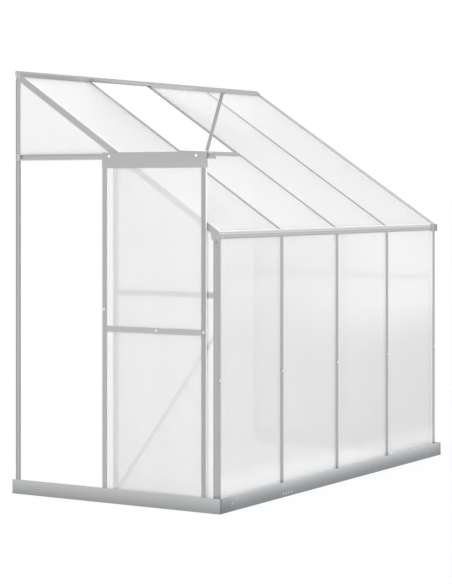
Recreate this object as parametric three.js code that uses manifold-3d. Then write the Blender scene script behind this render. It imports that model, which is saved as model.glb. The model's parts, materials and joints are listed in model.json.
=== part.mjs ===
import * as THREE from 'three';
import { mergeVertices } from 'three/addons/utils/BufferGeometryUtils.js';
import Module from 'manifold-3d';

// Lean-to greenhouse: a folded steel base, aluminium glazing bars, twin-wall sheets,
// a door that slides outside one gable, and a roof vent propped on a stay.
// Millimetres, +Z up. X runs along the house wall and the door gable is at -X.
// Y runs in depth: the house wall is at +Y and the low eave at -Y.

const wasm = await Module();
wasm.setup();

// Overall frame
const frameLength = 2468;
const frameDepth = 1250;
const bayCount = 4;
const endMargin = 28;
const ridgeHeight = 2203;
const eaveHeight = 1377;

// Fits between pieces
const seat = 0.3;
const overrun = 20;

// Twin-wall glazing sheet and the groove that holds it
const sheet = 4;
const grooveDepth = 8;
const grooveBottomGap = 0.6;
const groove = sheet + 2 * seat;

// Walls of the aluminium sections
const lip = 1.8;
const innerFlange = 1.6;
const backFace = lip + groove + innerFlange;

// Glazing bar section
const bar = { width: 27, web: 7, depth: 24, stem: 2, bulb: 8, bulbDepth: 3 };

// Corner post and end rafter section
const corner = { frontLeg: 24, gableLeg: 28, rafterLeg: 24, rafterRise: 8 };

// Wall post section
const wallPost = { face: 28, step: 11, setback: 3, depth: 24, wallFlange: 2, chamfer: 8 };

// Folded steel base
const base = { height: 75, proud: 26, steel: 1.5, hem: 9, flange: 48, tab: 18 };
const splice = { seamFromPost: 579, tongue: 120, bottomMargin: 8, topMargin: 4, joggle: 8 };

// Aluminium sill that stands inside the base
const sill = { height: 70, wall: 1.6, foot: 30, grooveFloor: 9.6 };
const guide = { shelfHeight: 20, shelf: 2, rib: 1.6, ribHeight: 18, ribOffset: 11.5 };

// Door post, far gable bar and gable bracing
const doorPostShare = 0.508;
const girt = { height: 1069.5, farWidth: 28, farWall: 1.8, farLedge: 12 };
const brace = { width: 20, thickness: 2, top: 870, foot: 78, headInset: 26, nearFootFromPost: 19 };
const farBraceFootShare = 0.356;

// Eave gutter section
const gutter = { bottomGap: 30, height: 34, proud: 6, back: 38.5, channelBack: 28, floor: 9, cover: 3.5 };
const gutterFace = { slopeDrop: 13, edge: 2, recess: 3, recessDrop: 2.5, beadRise: 8.5, bead: 5 };
const gutterFoot = { rise: 6, step: 1, inset: 0.2, innerLeg: 1.6, lipInset: 2 };
const rafterNotch = { fromFront: 20 };
const gutterCap = { thickness: 2.7, drop: 2, rise: 3, radius: 9 };

// Ridge bar section with the curved hinge socket for the vent
const ridge = { plate: 2, above: 9, shelf: 18, coverReach: 13, coverWall: 1.8, apron: 5.5 };
const socket = { fromWall: 24, clearOfRoof: 8.26, inner: 3.8, outer: 5.6 };
const socketStartAngle = 14;
const socketEndAngle = -52;
const socketShoulderAngle = 110;
const fullTurn = 360;
const socketSteps = 16;
const socketWeb = { inset: 4.2, width: 2, top: 1 };

// Roof panels and glazing bars
const roofEnds = { barAtEave: 17, panelAtEave: 7, rafterAtEave: 8, panelAtRidge: 4, rafterRise: 31 };

// Door track and its end stop
const track = { belowRoof: 42.4, height: 34, depth: 16, wall: 1.8, lip: 5, wallEnd: 19, eaveEnd: 15 };
const trackLedge = { height: 10 };
const trackStop = { plug: 35, plate: 3 };

// Sliding door
const door = { lap: 12, pastPost: 65, bottom: 30, aboveTrack: 37, inner: 4.8, depth: 15, shutLap: 15 };
const stile = { width: 24, groove: 9, hollowWall: 1.8 };
const topRail = { height: 38, cover: 2.5, belowTrack: 42 };
const midRail = { height: 28 };
const midRailShare = 0.4886;
const bottomRail = { height: 28, slot: 3.6, leg: 1.8, plate: 2, plateRise: 16 };
const roller = { radius: 14.5, width: 9, bore: 3.3, rim: 1.5, hub: 7, dish: 1.5 };
const rollerInset = { wall: 42, eave: 54 };
const rollerBolt = { pin: 3, head: 6, headHeight: 3, collar: 5.5, end: 5, endWidth: 1.4 };
const roundSteps = 32;
const capSteps = 6;

// Roof vent leaf and stay
const vent = { length: 715, sideGap: 1, restPitch: 5.8, top: 5, bottom: 7, rail: 22, wall: 1.8 };
const ventHead = { bead: 3.2, neck: 1.8, bodyStart: 8, bodyEnd: 26 };
const ventSill = { fromWall: 611, width: 34, depth: 20, web: 14, leg: 8 };
const stay = { pivotAlong: 680, pivotBelow: 17.6, width: 20, thickness: 3, pin: 3, pinHole: 3.3 };
const stayLug = { thickness: 3, radius: 8, head: 5, headWidth: 1.5, overlap: 18 };
const stayPeg = { upSlope: 5.4, depth: 23.9, plate: 3, offset: 4, radius: 3, edge: 9, rootDepth: 7 };

// Places worked out from the sizes above
const halfLength = frameLength / 2;
const halfBase = halfLength + base.proud;
const wallY = (frameDepth + base.proud + base.steel + seat) / 2;
const frontY = wallY - frameDepth;
const bayPitch = (frameLength - 2 * endMargin) / bayCount;
const barX = Array.from({ length: bayCount - 1 }, (_, k) => -halfLength + endMargin + (k + 1) * bayPitch);
const pitch = Math.atan2(ridgeHeight - eaveHeight, frameDepth);
const sinPitch = Math.sin(pitch);
const cosPitch = Math.cos(pitch);
const tanPitch = Math.tan(pitch);
const gutterBottom = eaveHeight - gutter.bottomGap;
const postBottom = sill.height + seat;
const postTop = gutterBottom - seat;
const doorPostY = wallY - frameDepth * doorPostShare;
const ridgeTop = ridgeHeight + ridge.above;
const wallPostEdgeY = wallY - wallPost.face;

const X = new THREE.Vector3(1, 0, 0);
const Y = new THREE.Vector3(0, 1, 0);
const Z = new THREE.Vector3(0, 0, 1);
const minus = (v) => v.clone().negate();
const upSlope = new THREE.Vector3(0, cosPitch, sinPitch);
const intoRoof = new THREE.Vector3(0, sinPitch, -cosPitch);

// Height of the line that lies `depth` under the roof surface, at the place y
const roofZ = (y, depth = 0) => eaveHeight + (y - frontY) * tanPitch - depth / cosPitch;

// Point on the roof surface at the place y, as the origin of a sloping piece
const roofPoint = (x, y) => new THREE.Vector3(x, y, roofZ(y));

// Heights of the track and the door under it
const trackBottom = roofZ(doorPostY) - track.belowRoof;
const doorTop = trackBottom + door.aboveTrack;
const topRailBottom = trackBottom - topRail.belowTrack;
const midRailZ = door.bottom + (doorTop - door.bottom) * midRailShare;

// Finishes
const finish = (color, roughness, metalness) => (
  () => new THREE.MeshStandardMaterial({ color, roughness, metalness })
);
const aluminium = finish(0xb4b5b6, 0.45, 0.9);
const zincSteel = finish(0x9ea2a6, 0.4, 0.85);
const twinWall = finish(0xeef1f2, 0.35, 0);
const nylon = finish(0xd9d9d4, 0.5, 0);

const greenhouse = new THREE.Group();

function addPiece(name, geometry, material, parent = greenhouse) {
  const mesh = new THREE.Mesh(geometry, material);
  mesh.name = name;
  parent.add(mesh);
  return mesh;
}

// A closed prism of an outline, from 0 to `length` along its own z
function prism(outline, length, holes = []) {
  const path = (points) => {
    const loop = points.map(([a, b]) => new THREE.Vector2(a, b));
    return THREE.ShapeUtils.isClockWise(loop) ? loop.reverse() : loop;
  };
  const shape = new THREE.Shape(path(outline));
  shape.holes = holes.map((points) => new THREE.Path(path(points)));
  return extruded(shape, length, roundSteps);
}

function extruded(shape, depth, curveSegments) {
  return welded(new THREE.ExtrudeGeometry(shape, { depth, bevelEnabled: false, curveSegments }));
}

function welded(geometry) {
  geometry.deleteAttribute('normal');
  geometry.deleteAttribute('uv');
  return mergeVertices(geometry);
}

// Set a prism's own x, y and z along three directions of the greenhouse
function place(geometry, across, depth, along, origin) {
  const frame = new THREE.Matrix4().makeBasis(across, depth, along).setPosition(origin);
  geometry.applyMatrix4(frame);
  if (frame.determinant() < 0) {
    const index = geometry.index.array;
    for (let i = 0; i < index.length; i += 3) {
      [index[i + 1], index[i + 2]] = [index[i + 2], index[i + 1]];
    }
  }
  return geometry;
}

function box(xs, ys, zs) {
  const [x0, x1] = xs;
  const [y0, y1] = ys;
  const [z0, z1] = zs;
  const geometry = welded(new THREE.BoxGeometry(x1 - x0, y1 - y0, z1 - z0));
  return geometry.translate((x0 + x1) / 2, (y0 + y1) / 2, (z0 + z1) / 2);
}

// A round pin along X between two places
function pinX(radius, x0, x1, y, z, steps = roundSteps) {
  const geometry = new THREE.CylinderGeometry(radius, radius, x1 - x0, steps);
  geometry.rotateZ(Math.PI / 2);
  return welded(geometry).translate((x0 + x1) / 2, y, z);
}

function toSolid(geometry) {
  return new wasm.Manifold(new wasm.Mesh({
    numProp: 3,
    vertProperties: new Float32Array(geometry.attributes.position.array),
    triVerts: new Uint32Array(geometry.index.array),
  }));
}

function fromSolid(solid) {
  const mesh = solid.getMesh();
  const geometry = new THREE.BufferGeometry();
  geometry.setAttribute('position', new THREE.BufferAttribute(new Float32Array(mesh.vertProperties), 3));
  geometry.setIndex(new THREE.BufferAttribute(new Uint32Array(mesh.triVerts), 1));
  return geometry;
}

const join = (...parts) => fromSolid(parts.map(toSolid).reduce((a, b) => a.add(b)));
const cut = (body, ...tools) => (
  fromSolid(tools.map(toSolid).reduce((a, b) => a.subtract(b), toSolid(body)))
);

// An outline from its half on one side of x = 0
function bothSides(half) {
  return [...half, ...half.map(([a, b]) => [-a, b]).reverse()];
}

// Half section of a glazing bar: cap outside, web, and a flange behind the groove
function flatBarHalf() {
  const w = bar.width / 2;
  const web = bar.web / 2;
  const inner = lip + groove;
  return [[w, 0], [w, lip], [web, lip], [web, inner], [w, inner], [w, backFace]];
}

// The same bar with a stem and a bulb behind it, for the bars of the two gables
function barOutline() {
  const stem = bar.stem / 2;
  const bulb = bar.bulb / 2;
  const bulbTop = bar.depth - bar.bulbDepth;
  return bothSides([
    ...flatBarHalf(), [stem, backFace], [stem, bulbTop], [bulb, bulbTop], [bulb, bar.depth],
  ]);
}

// Section of a corner: two legs at right angles with a groove behind each, and a hollow core
function cornerSection(legA, legB, rise = 0) {
  const inner = lip + groove;
  const outline = [
    [legA, 0], [legA, lip], [legA - grooveDepth, lip], [legA - grooveDepth, inner], [legA, inner],
    [legA, backFace], [backFace, backFace], [backFace, legB], [inner, legB], [inner, legB - grooveDepth],
    [lip, legB - grooveDepth], [lip, legB], [0, legB], [0, -rise],
  ];
  if (rise > 0) outline.push([lip, -rise], [lip, 0]);
  const coreEnd = legB - grooveDepth - lip;
  const core = [[lip, backFace], [inner, backFace], [inner, coreEnd], [lip, coreEnd]];
  return { outline, holes: [core] };
}

// Section of a wall post: stepped face, groove for the gable sheet, flange on the wall
function wallPostSection() {
  const inner = lip + groove;
  const grooveEnd = wallPost.face - grooveDepth;
  const { step, setback, wallFlange, depth, face } = wallPost;
  const outline = [
    [0, setback], [step, setback], [step, 0], [face, 0], [face, lip], [grooveEnd, lip],
    [grooveEnd, inner], [face, inner], [face, backFace], [step, backFace], [step, setback + lip],
    [wallFlange, setback + lip], [wallFlange, depth], [0, depth],
  ];
  const core = [
    [step + lip, lip], [grooveEnd - lip, lip], [grooveEnd - lip, inner], [step + lip, inner],
  ];
  return { outline, holes: [core] };
}

// Base: a web with a folded hem at the top and a flange on the ground
function baseSection() {
  const { height, steel, hem, flange } = base;
  return [
    [0, 0], [flange, 0], [flange, steel], [steel, steel], [steel, height - hem],
    [2 * steel, height - hem], [2 * steel, height], [0, height],
  ];
}

function addBases() {
  const outerX = halfBase;
  const outerY = frontY - base.proud;
  const tabY = outerY - seat - base.steel;
  for (const [name, side] of [['near', -1], ['far', 1]]) {
    const start = new THREE.Vector3(side * outerX, outerY + base.steel + seat, 0);
    const length = wallY - start.y;
    const body = place(prism(baseSection(), length), X.clone().multiplyScalar(-side), Z, Y, start);
    const tabXs = [side * outerX, side * (outerX - base.tab)].sort((a, b) => a - b);
    const tab = box(tabXs, [tabY, tabY + base.steel], [0, base.height]);
    const foldXs = [side * outerX, side * (outerX - base.steel)].sort((a, b) => a - b);
    const fold = box(foldXs, [tabY, start.y + base.steel], [0, base.height]);
    addPiece(`base_gable_${name}`, join(body, fold, tab), zincSteel());
  }

  const frontEnd = outerX - 2 * base.steel - seat;
  const seamX = -halfLength + splice.seamFromPost;
  const flangeEnd = outerX - base.flange - seat;
  const flangeYs = [outerY + base.steel, outerY + base.flange + overrun];
  const flangeTool = (x0, x1) => box([x0, x1], flangeYs, [-overrun, base.steel + seat]);
  const front = (x0, x1) => {
    const start = new THREE.Vector3(x0, outerY, 0);
    return place(prism(baseSection(), x1 - x0), Y, Z, X, start);
  };
  const tongueY = outerY + base.steel;
  const tongueZs = [splice.bottomMargin, base.height - base.hem - splice.topMargin];
  const tongueYs = [tongueY + seat, tongueY + seat + base.steel];
  const joggleYs = [tongueY - base.steel / 2, tongueY + seat + base.steel / 2];
  const tongue = box([seamX - splice.joggle, seamX + splice.tongue], tongueYs, tongueZs);
  const joggle = box([seamX - splice.joggle, seamX - seat], joggleYs, tongueZs);
  const near = cut(front(-frontEnd, seamX - seat), flangeTool(-outerX - overrun, -flangeEnd));
  addPiece('base_front_near', join(near, tongue, joggle), zincSteel());
  const far = cut(front(seamX, frontEnd), flangeTool(flangeEnd, outerX + overrun));
  addPiece('base_front_far', far, zincSteel());
}

// Sills: an upright wall with a groove on top for the sheets and a foot inside

function sillOutline() {
  const { height, wall, foot, grooveFloor } = sill;
  const bottom = base.steel + seat;
  const inner = lip + groove;
  const floor = height - grooveFloor;
  return [
    [0, bottom], [foot, bottom], [foot, bottom + wall], [wall, bottom + wall], [wall, floor - wall],
    [backFace, floor - wall], [backFace, height], [inner, height], [inner, floor], [lip, floor],
    [lip, height], [0, height],
  ];
}

function addSills() {
  const frontSill = place(
    prism(sillOutline(), frameLength), Y, Z, X, new THREE.Vector3(-halfLength, frontY, 0),
  );
  const footYs = [frontY + backFace, frontY + sill.foot + overrun];
  const footZs = [-overrun, sill.height - sill.grooveFloor - sill.wall - seat];
  const footEnd = halfLength - sill.foot - seat;
  const footCuts = [[-halfLength - overrun, -footEnd], [footEnd, halfLength + overrun]];
  const trimmed = cut(frontSill, ...footCuts.map((xs) => box(xs, footYs, footZs)));
  addPiece('sill_front', trimmed, aluminium());

  const startY = frontY + backFace + seat;
  const length = wallY - startY;
  const gable = (side) => place(
    prism(sillOutline(), length), X.clone().multiplyScalar(-side), Z, Y,
    new THREE.Vector3(side * halfLength, startY, 0),
  );
  const { shelfHeight, shelf, rib, ribHeight, ribOffset } = guide;
  const ribTop = shelfHeight + ribHeight;
  const shelfTop = shelfHeight + shelf;
  const railOutline = [
    [-sill.wall, shelfHeight], [ribOffset + rib, shelfHeight], [ribOffset + rib, ribTop],
    [ribOffset, ribTop], [ribOffset, shelfTop], [-sill.wall, shelfTop],
  ];
  const railStart = new THREE.Vector3(-halfLength, startY, 0);
  const guideRail = place(prism(railOutline, length), minus(X), Z, Y, railStart);
  addPiece('sill_gable_near', join(gable(-1), guideRail), aluminium());
  addPiece('sill_gable_far', gable(1), aluminium());
}

// Upright posts and glazing bars

function underRoofTool(y0, y1, depth) {
  const bottom = (y) => roofZ(y, depth) - seat / cosPitch;
  const top = ridgeTop + overrun;
  return place(
    prism([[y0, bottom(y0)], [y1, bottom(y1)], [y1, top], [y0, top]], frameLength + 2 * overrun),
    Y, Z, X, new THREE.Vector3(-halfLength - overrun, 0, 0),
  );
}

function addPosts() {
  const section = cornerSection(corner.gableLeg, corner.frontLeg);
  for (const [name, side] of [['near', -1], ['far', 1]]) {
    const inward = X.clone().multiplyScalar(-side);
    const post = place(
      prism(section.outline, postTop - postBottom, section.holes), Y, inward, Z,
      new THREE.Vector3(side * halfLength, frontY, postBottom),
    );
    addPiece(`corner_post_${name}`, post, aluminium());

    const wall = wallPostSection();
    const tall = place(
      prism(wall.outline, ridgeTop - postBottom, wall.holes), minus(Y), inward, Z,
      new THREE.Vector3(side * halfLength, wallY, postBottom),
    );
    const c = wallPost.chamfer;
    const shoulder = roofZ(wallY, corner.rafterLeg) - seat / cosPitch;
    const chamferOutline = [
      [wallY - c, shoulder + overrun], [wallY - c, shoulder], [wallY, shoulder - c],
      [wallY + overrun, shoulder - c], [wallY + overrun, shoulder + overrun],
    ];
    const chamferStart = new THREE.Vector3(-halfLength - overrun, 0, 0);
    const chamferTool = place(prism(chamferOutline, frameLength + 2 * overrun), Y, Z, X, chamferStart);
    const roofTool = underRoofTool(wallPostEdgeY - overrun, wallY + overrun, corner.rafterLeg);
    addPiece(`wall_post_${name}`, cut(tall, roofTool, chamferTool), aluminium());

    const middle = place(
      prism(barOutline(), ridgeTop - postBottom), Y, inward, Z,
      new THREE.Vector3(side * halfLength, doorPostY, postBottom),
    );
    const middleTool = underRoofTool(doorPostY - bar.width, doorPostY + bar.width, corner.rafterLeg);
    addPiece(side < 0 ? 'door_post' : 'gable_bar_far', cut(middle, middleTool), aluminium());
  }
  barX.forEach((x, i) => {
    const foot = new THREE.Vector3(x, frontY, postBottom);
    const upright = place(prism(bothSides(flatBarHalf()), postTop - postBottom), X, Y, Z, foot);
    addPiece(`front_bar_${i + 1}`, upright, aluminium());
  });
}

// Girts and diagonal braces of the two gables

function addGableBracing() {
  const postEdgeY = frontY + corner.gableLeg + seat;
  const barEdgeY = doorPostY - bar.width / 2 - seat;
  const girtStart = new THREE.Vector3(-halfLength, postEdgeY, girt.height);
  const nearGirt = place(prism(barOutline(), barEdgeY - postEdgeY), Z, X, Y, girtStart);
  addPiece('girt_near', nearGirt, aluminium());

  const { farWidth, farWall, farLedge } = girt;
  const farBottom = girt.height - farWidth / 2;
  const farOutline = [
    [0, 0], [farLedge, 0], [farLedge, farWall], [farWall, farWall], [farWall, farWidth], [0, farWidth],
  ];
  const farStartY = frontY + backFace - innerFlange + seat;
  const farGirt = place(
    prism(farOutline, wallY - farStartY), minus(X), Z, Y,
    new THREE.Vector3(halfLength - bar.depth - seat, farStartY, farBottom),
  );
  addPiece('girt_far', farGirt, aluminium());

  const headY = frontY + brace.headInset;
  const nearFootY = doorPostY - brace.nearFootFromPost;
  const farFootY = frontY + frameDepth * farBraceFootShare;
  for (const [name, side, footY] of [['near', -1, nearFootY], ['far', 1, farFootY]]) {
    const head = new THREE.Vector2(headY, brace.top);
    const foot = new THREE.Vector2(footY, brace.foot);
    const across = head.clone().sub(foot).normalize().multiplyScalar(brace.width / 2);
    const corners = [
      [foot.x - across.y, foot.y + across.x], [foot.x + across.y, foot.y - across.x],
      [head.x + across.y, head.y - across.x], [head.x - across.y, head.y + across.x],
    ];
    const faceX = side * (halfLength - backFace - seat);
    const inward = X.clone().multiplyScalar(-side);
    const strip = place(prism(corners, brace.thickness), Y, Z, inward, new THREE.Vector3(faceX, 0, 0));
    addPiece(`brace_${name}`, strip, aluminium());
  }
}

// Eave gutter: a channel behind a stepped face, a slot below for the front sheets and
// a sloping seat for the bars

function gutterOutline() {
  const { height, proud, back, channelBack, floor, cover } = gutter;
  const seatDepth = backFace + seat;
  const seatZ = (out) => roofZ(frontY - out, seatDepth) - gutterBottom;
  const top = height;
  const edgeZ = top - gutterFace.slopeDrop;
  const recessTop = edgeZ - gutterFace.recessDrop;
  const beadTop = recessTop - gutterFace.beadRise + gutterFace.edge;
  const beadBottom = gutterFoot.rise + gutterFoot.step;
  const slotOuter = -(lip - gutterFoot.inset);
  const slotInner = -(lip + groove);
  const legInner = slotInner - gutterFoot.innerLeg;
  return [
    [-cover, top], [-gutterFoot.lipInset, top], [proud, edgeZ], [proud, edgeZ - gutterFace.edge],
    [gutterFace.recess, recessTop], [gutterFace.recess, beadTop],
    [gutterFace.bead, beadTop - gutterFoot.step], [gutterFace.bead, beadBottom],
    [gutterFace.bead - gutterFoot.step, gutterFoot.rise],
    [gutterFoot.inset, 0], [slotOuter, 0], [slotOuter, floor], [slotInner, floor], [slotInner, 0],
    [legInner, 0], [legInner, floor],
    [-channelBack - lip, floor], [-channelBack - lip, seatZ(-channelBack - lip) - lip],
    [-back + lip, seatZ(-back + lip) - lip - seat], [-back + lip, 0], [-back, 0], [-back, seatZ(-back)],
    [-channelBack, seatZ(-channelBack)], [-channelBack, floor + lip],
    [gutterFace.recess - lip, floor + lip], [gutterFace.recess - lip, edgeZ - lip],
    [gutterFace.recess, edgeZ],
  ];
}

function addGutter() {
  const start = new THREE.Vector3(-halfLength, frontY, gutterBottom);
  const body = place(prism(gutterOutline(), frameLength), minus(Y), Z, X, start);
  // The end rafters are deeper than the bars, so the seat is lower at both ends
  const notch = (side) => {
    const inner = frontY + rafterNotch.fromFront;
    const outer = frontY + gutter.back + overrun;
    const low = (y) => roofZ(y, corner.rafterLeg + seat);
    const outline = [[inner, low(inner)], [outer, low(outer)], [outer, ridgeTop], [inner, ridgeTop]];
    const width = corner.frontLeg + seat + overrun;
    const x0 = side < 0 ? -halfLength - overrun : halfLength + overrun - width;
    return place(prism(outline, width), Y, Z, X, new THREE.Vector3(x0, 0, 0));
  };
  addPiece('eave_gutter', cut(body, notch(-1), notch(1)), aluminium());
  const { thickness, drop, rise, radius } = gutterCap;
  const top = gutter.height + rise;
  const shape = new THREE.Shape();
  shape.moveTo(-gutter.back, -drop);
  shape.lineTo(gutter.proud, -drop);
  shape.lineTo(gutter.proud, top - radius);
  shape.absarc(gutter.proud - radius, top - radius, radius, 0, Math.PI / 2);
  shape.lineTo(-gutter.back, top);
  const plate = () => extruded(shape, thickness, capSteps);
  for (const [name, side] of [['near', -1], ['far', 1]]) {
    const outward = X.clone().multiplyScalar(side);
    const at = new THREE.Vector3(side * (halfLength + seat), frontY, gutterBottom);
    addPiece(`gutter_cap_${name}`, place(plate(), minus(Y), Z, outward, at), aluminium());
  }
}

// Ridge bar: wall plate, shelf for the bars, top cover and a round socket for the vent's bead

const socketY = wallY - socket.fromWall;
const socketZ = roofZ(socketY) + socket.clearOfRoof / cosPitch;

function ridgeOutline() {
  const { plate, shelf, coverReach, coverWall } = ridge;
  const at = (radius, degrees) => {
    const angle = THREE.MathUtils.degToRad(degrees);
    return [socket.fromWall + radius * Math.cos(angle), socketZ + radius * Math.sin(angle)];
  };
  const arc = (radius, from, to) => Array.from(
    { length: socketSteps + 1 }, (_, k) => at(radius, from + ((to - from) * k) / socketSteps),
  );
  const underBars = (out) => roofZ(wallY - out, backFace + seat);
  const webFoot = (out) => roofZ(wallY - out) + seat;
  const webOuter = socket.fromWall - socketWeb.inset;
  const webInner = webOuter - socketWeb.width;
  const webAngle = -THREE.MathUtils.radToDeg(Math.acos(-socketWeb.inset / socket.outer));
  const underCover = ridgeTop - coverWall;
  return [
    [0, underBars(0) - lip], [shelf, underBars(shelf) - lip], [shelf, underBars(shelf)],
    [plate, underBars(plate)], [plate, underCover], [coverReach - coverWall, underCover],
    [webInner, socketZ + socketWeb.top], [webInner, webFoot(webInner)], [webOuter, webFoot(webOuter)],
    ...arc(socket.outer, webAngle, socketEndAngle),
    ...arc(socket.inner, socketEndAngle + fullTurn, socketStartAngle),
    ...arc(socket.outer, socketStartAngle, socketShoulderAngle),
    [coverReach, ridgeTop], [0, ridgeTop],
  ];
}

function addRidge() {
  const start = new THREE.Vector3(-halfLength, wallY, 0);
  const body = place(prism(ridgeOutline(), frameLength), minus(Y), Z, X, start);
  // No shelf at the end rafters or in the vent's bay, where an apron closes the gap above the leaf
  const shelfTool = (x0, x1) => {
    const corners = [[wallPostEdgeY, corner.rafterLeg], [wallY - ridge.plate, corner.rafterLeg],
      [wallY - ridge.plate, backFace], [wallPostEdgeY, backFace]];
    const outline = corners.map(([y, depth]) => [y, roofZ(y, depth)]);
    return place(prism(outline, x1 - x0), Y, Z, X, new THREE.Vector3(x0, 0, 0));
  };
  const inner = halfLength - corner.frontLeg - seat;
  const clear = bar.width / 2 + seat;
  const bayStart = barX[0] + clear;
  const bayEnd = barX[1] - clear;
  const trimmed = cut(
    body, shelfTool(-halfLength - overrun, -inner), shelfTool(bayStart, bayEnd),
    shelfTool(inner, halfLength + overrun),
  );
  const webFace = wallY - socket.fromWall + socketWeb.inset;
  const apronZs = [roofZ(webFace) - ridge.apron, socketZ];
  const apronYs = [webFace, webFace + socketWeb.width];
  const apron = box([bayStart + seat, bayEnd - seat], apronYs, apronZs);
  addPiece('ridge_bar', join(trimmed, apron), aluminium());
}

// Roof bars and end rafters run up the slope; their section's y goes down into the roof

const barEaveY = frontY + roofEnds.barAtEave;
const barRidgeY = wallY - ridge.plate - seat - backFace * sinPitch;
const rafterRidgeY = wallY - ridge.plate - seat - corner.rafterLeg * sinPitch;

function addRoofBars() {
  const length = (barRidgeY - barEaveY) / cosPitch;
  barX.forEach((x, i) => {
    const straight = prism(bothSides(flatBarHalf()), length);
    const body = place(straight, X, intoRoof, upSlope, roofPoint(x, barEaveY));
    addPiece(`roof_bar_${i + 1}`, body, aluminium());
  });

  const startY = frontY + roofEnds.rafterAtEave;
  const rafterLength = (rafterRidgeY - startY) / cosPitch;
  const riseEnd = (wallY - roofEnds.rafterRise - startY) / cosPitch;
  const section = cornerSection(corner.frontLeg, corner.rafterLeg, corner.rafterRise);
  for (const [name, side] of [['near', -1], ['far', 1]]) {
    const whole = prism(section.outline, rafterLength, section.holes);
    const riseXs = [-overrun, corner.frontLeg + overrun];
    const riseTool = box(riseXs, [-overrun, 0], [riseEnd, rafterLength + overrun]);
    const inward = X.clone().multiplyScalar(-side);
    const eaveEnd = roofPoint(side * halfLength, startY);
    const rafter = place(cut(whole, riseTool), inward, intoRoof, upSlope, eaveEnd);
    addPiece(`end_rafter_${name}`, rafter, aluminium());
  }
}

// Vent sill across bay 2: cap, groove for the lower sheet and a leg that carries the stay's peg

const ventX = (barX[0] + barX[1]) / 2;
const ventSillY = wallY - ventSill.fromWall;

// The peg's place on the sill, the pin's place under the open leaf, and the stay between them
const sillPoint = (along, deep) => {
  const point = roofPoint(0, ventSillY).addScaledVector(upSlope, along).addScaledVector(intoRoof, deep);
  return new THREE.Vector2(point.y, point.z);
};
const ventRest = THREE.MathUtils.degToRad(vent.restPitch);
const peg = sillPoint(stayPeg.upSlope, stayPeg.depth);
const stayPivot = new THREE.Vector2(-stay.pivotAlong, -stay.pivotBelow)
  .rotateAround(new THREE.Vector2(), ventRest)
  .add(new THREE.Vector2(socketY, socketZ));
const stayLine = peg.clone().sub(stayPivot);
const stayLength = stayLine.length();
const stayTurn = Math.atan2(-stayLine.y, -stayLine.x) - ventRest;

function addVentSill() {
  const { width, depth, web, leg } = ventSill;
  const inner = lip + groove;
  const outline = [
    [0, 0], [width, 0], [width, lip], [web, lip], [web, inner], [width, inner], [width, backFace],
    [leg + lip, backFace], [leg + lip, depth], [leg, depth], [leg, lip], [0, lip],
  ];
  const x0 = barX[0] + bar.width / 2 + seat;
  const x1 = barX[1] - bar.width / 2 - seat;
  const beam = place(prism(outline, x1 - x0), minus(upSlope), intoRoof, X, roofPoint(x0, ventSillY));

  const { edge, rootDepth, radius } = stayPeg;
  const onLeg = (deep) => sillPoint(-leg - lip / 2, deep).toArray();
  const ear = [
    onLeg(rootDepth), onLeg(depth), [peg.x, peg.y - edge], [peg.x + edge, peg.y - edge],
    [peg.x + edge, peg.y + edge],
  ];
  const earX = ventX + stay.thickness / 2 + stayPeg.offset;
  const plate = place(prism(ear, stayPeg.plate), Y, Z, X, new THREE.Vector3(earX, 0, 0));
  const pin = pinX(radius, ventX + stay.thickness / 2 + seat, earX + stayPeg.plate / 2, peg.x, peg.y);
  addPiece('vent_sill', join(beam, plate, pin), aluminium());
}

// Twin-wall sheets in the grooves

const sheetOuter = lip + seat;
const edgeInBar = bar.web / 2 + grooveBottomGap;
const edgeInFrontPost = corner.frontLeg - grooveDepth + grooveBottomGap;
const edgeInGablePost = corner.gableLeg - grooveDepth + grooveBottomGap;
const edgeInWallPost = wallPost.face - grooveDepth + grooveBottomGap;
const sheetBottom = sill.height - sill.grooveFloor + seat;
const bayEdges = Array.from({ length: bayCount }, (_, k) => [
  k === 0 ? -halfLength + edgeInFrontPost : barX[k - 1] + edgeInBar,
  k === bayCount - 1 ? halfLength - edgeInFrontPost : barX[k] - edgeInBar,
]);

function gableSheet(side, outline) {
  const inward = X.clone().multiplyScalar(-side);
  const origin = new THREE.Vector3(side * (halfLength - sheetOuter), 0, 0);
  return place(prism(outline, sheet), Y, Z, inward, origin);
}

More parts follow.
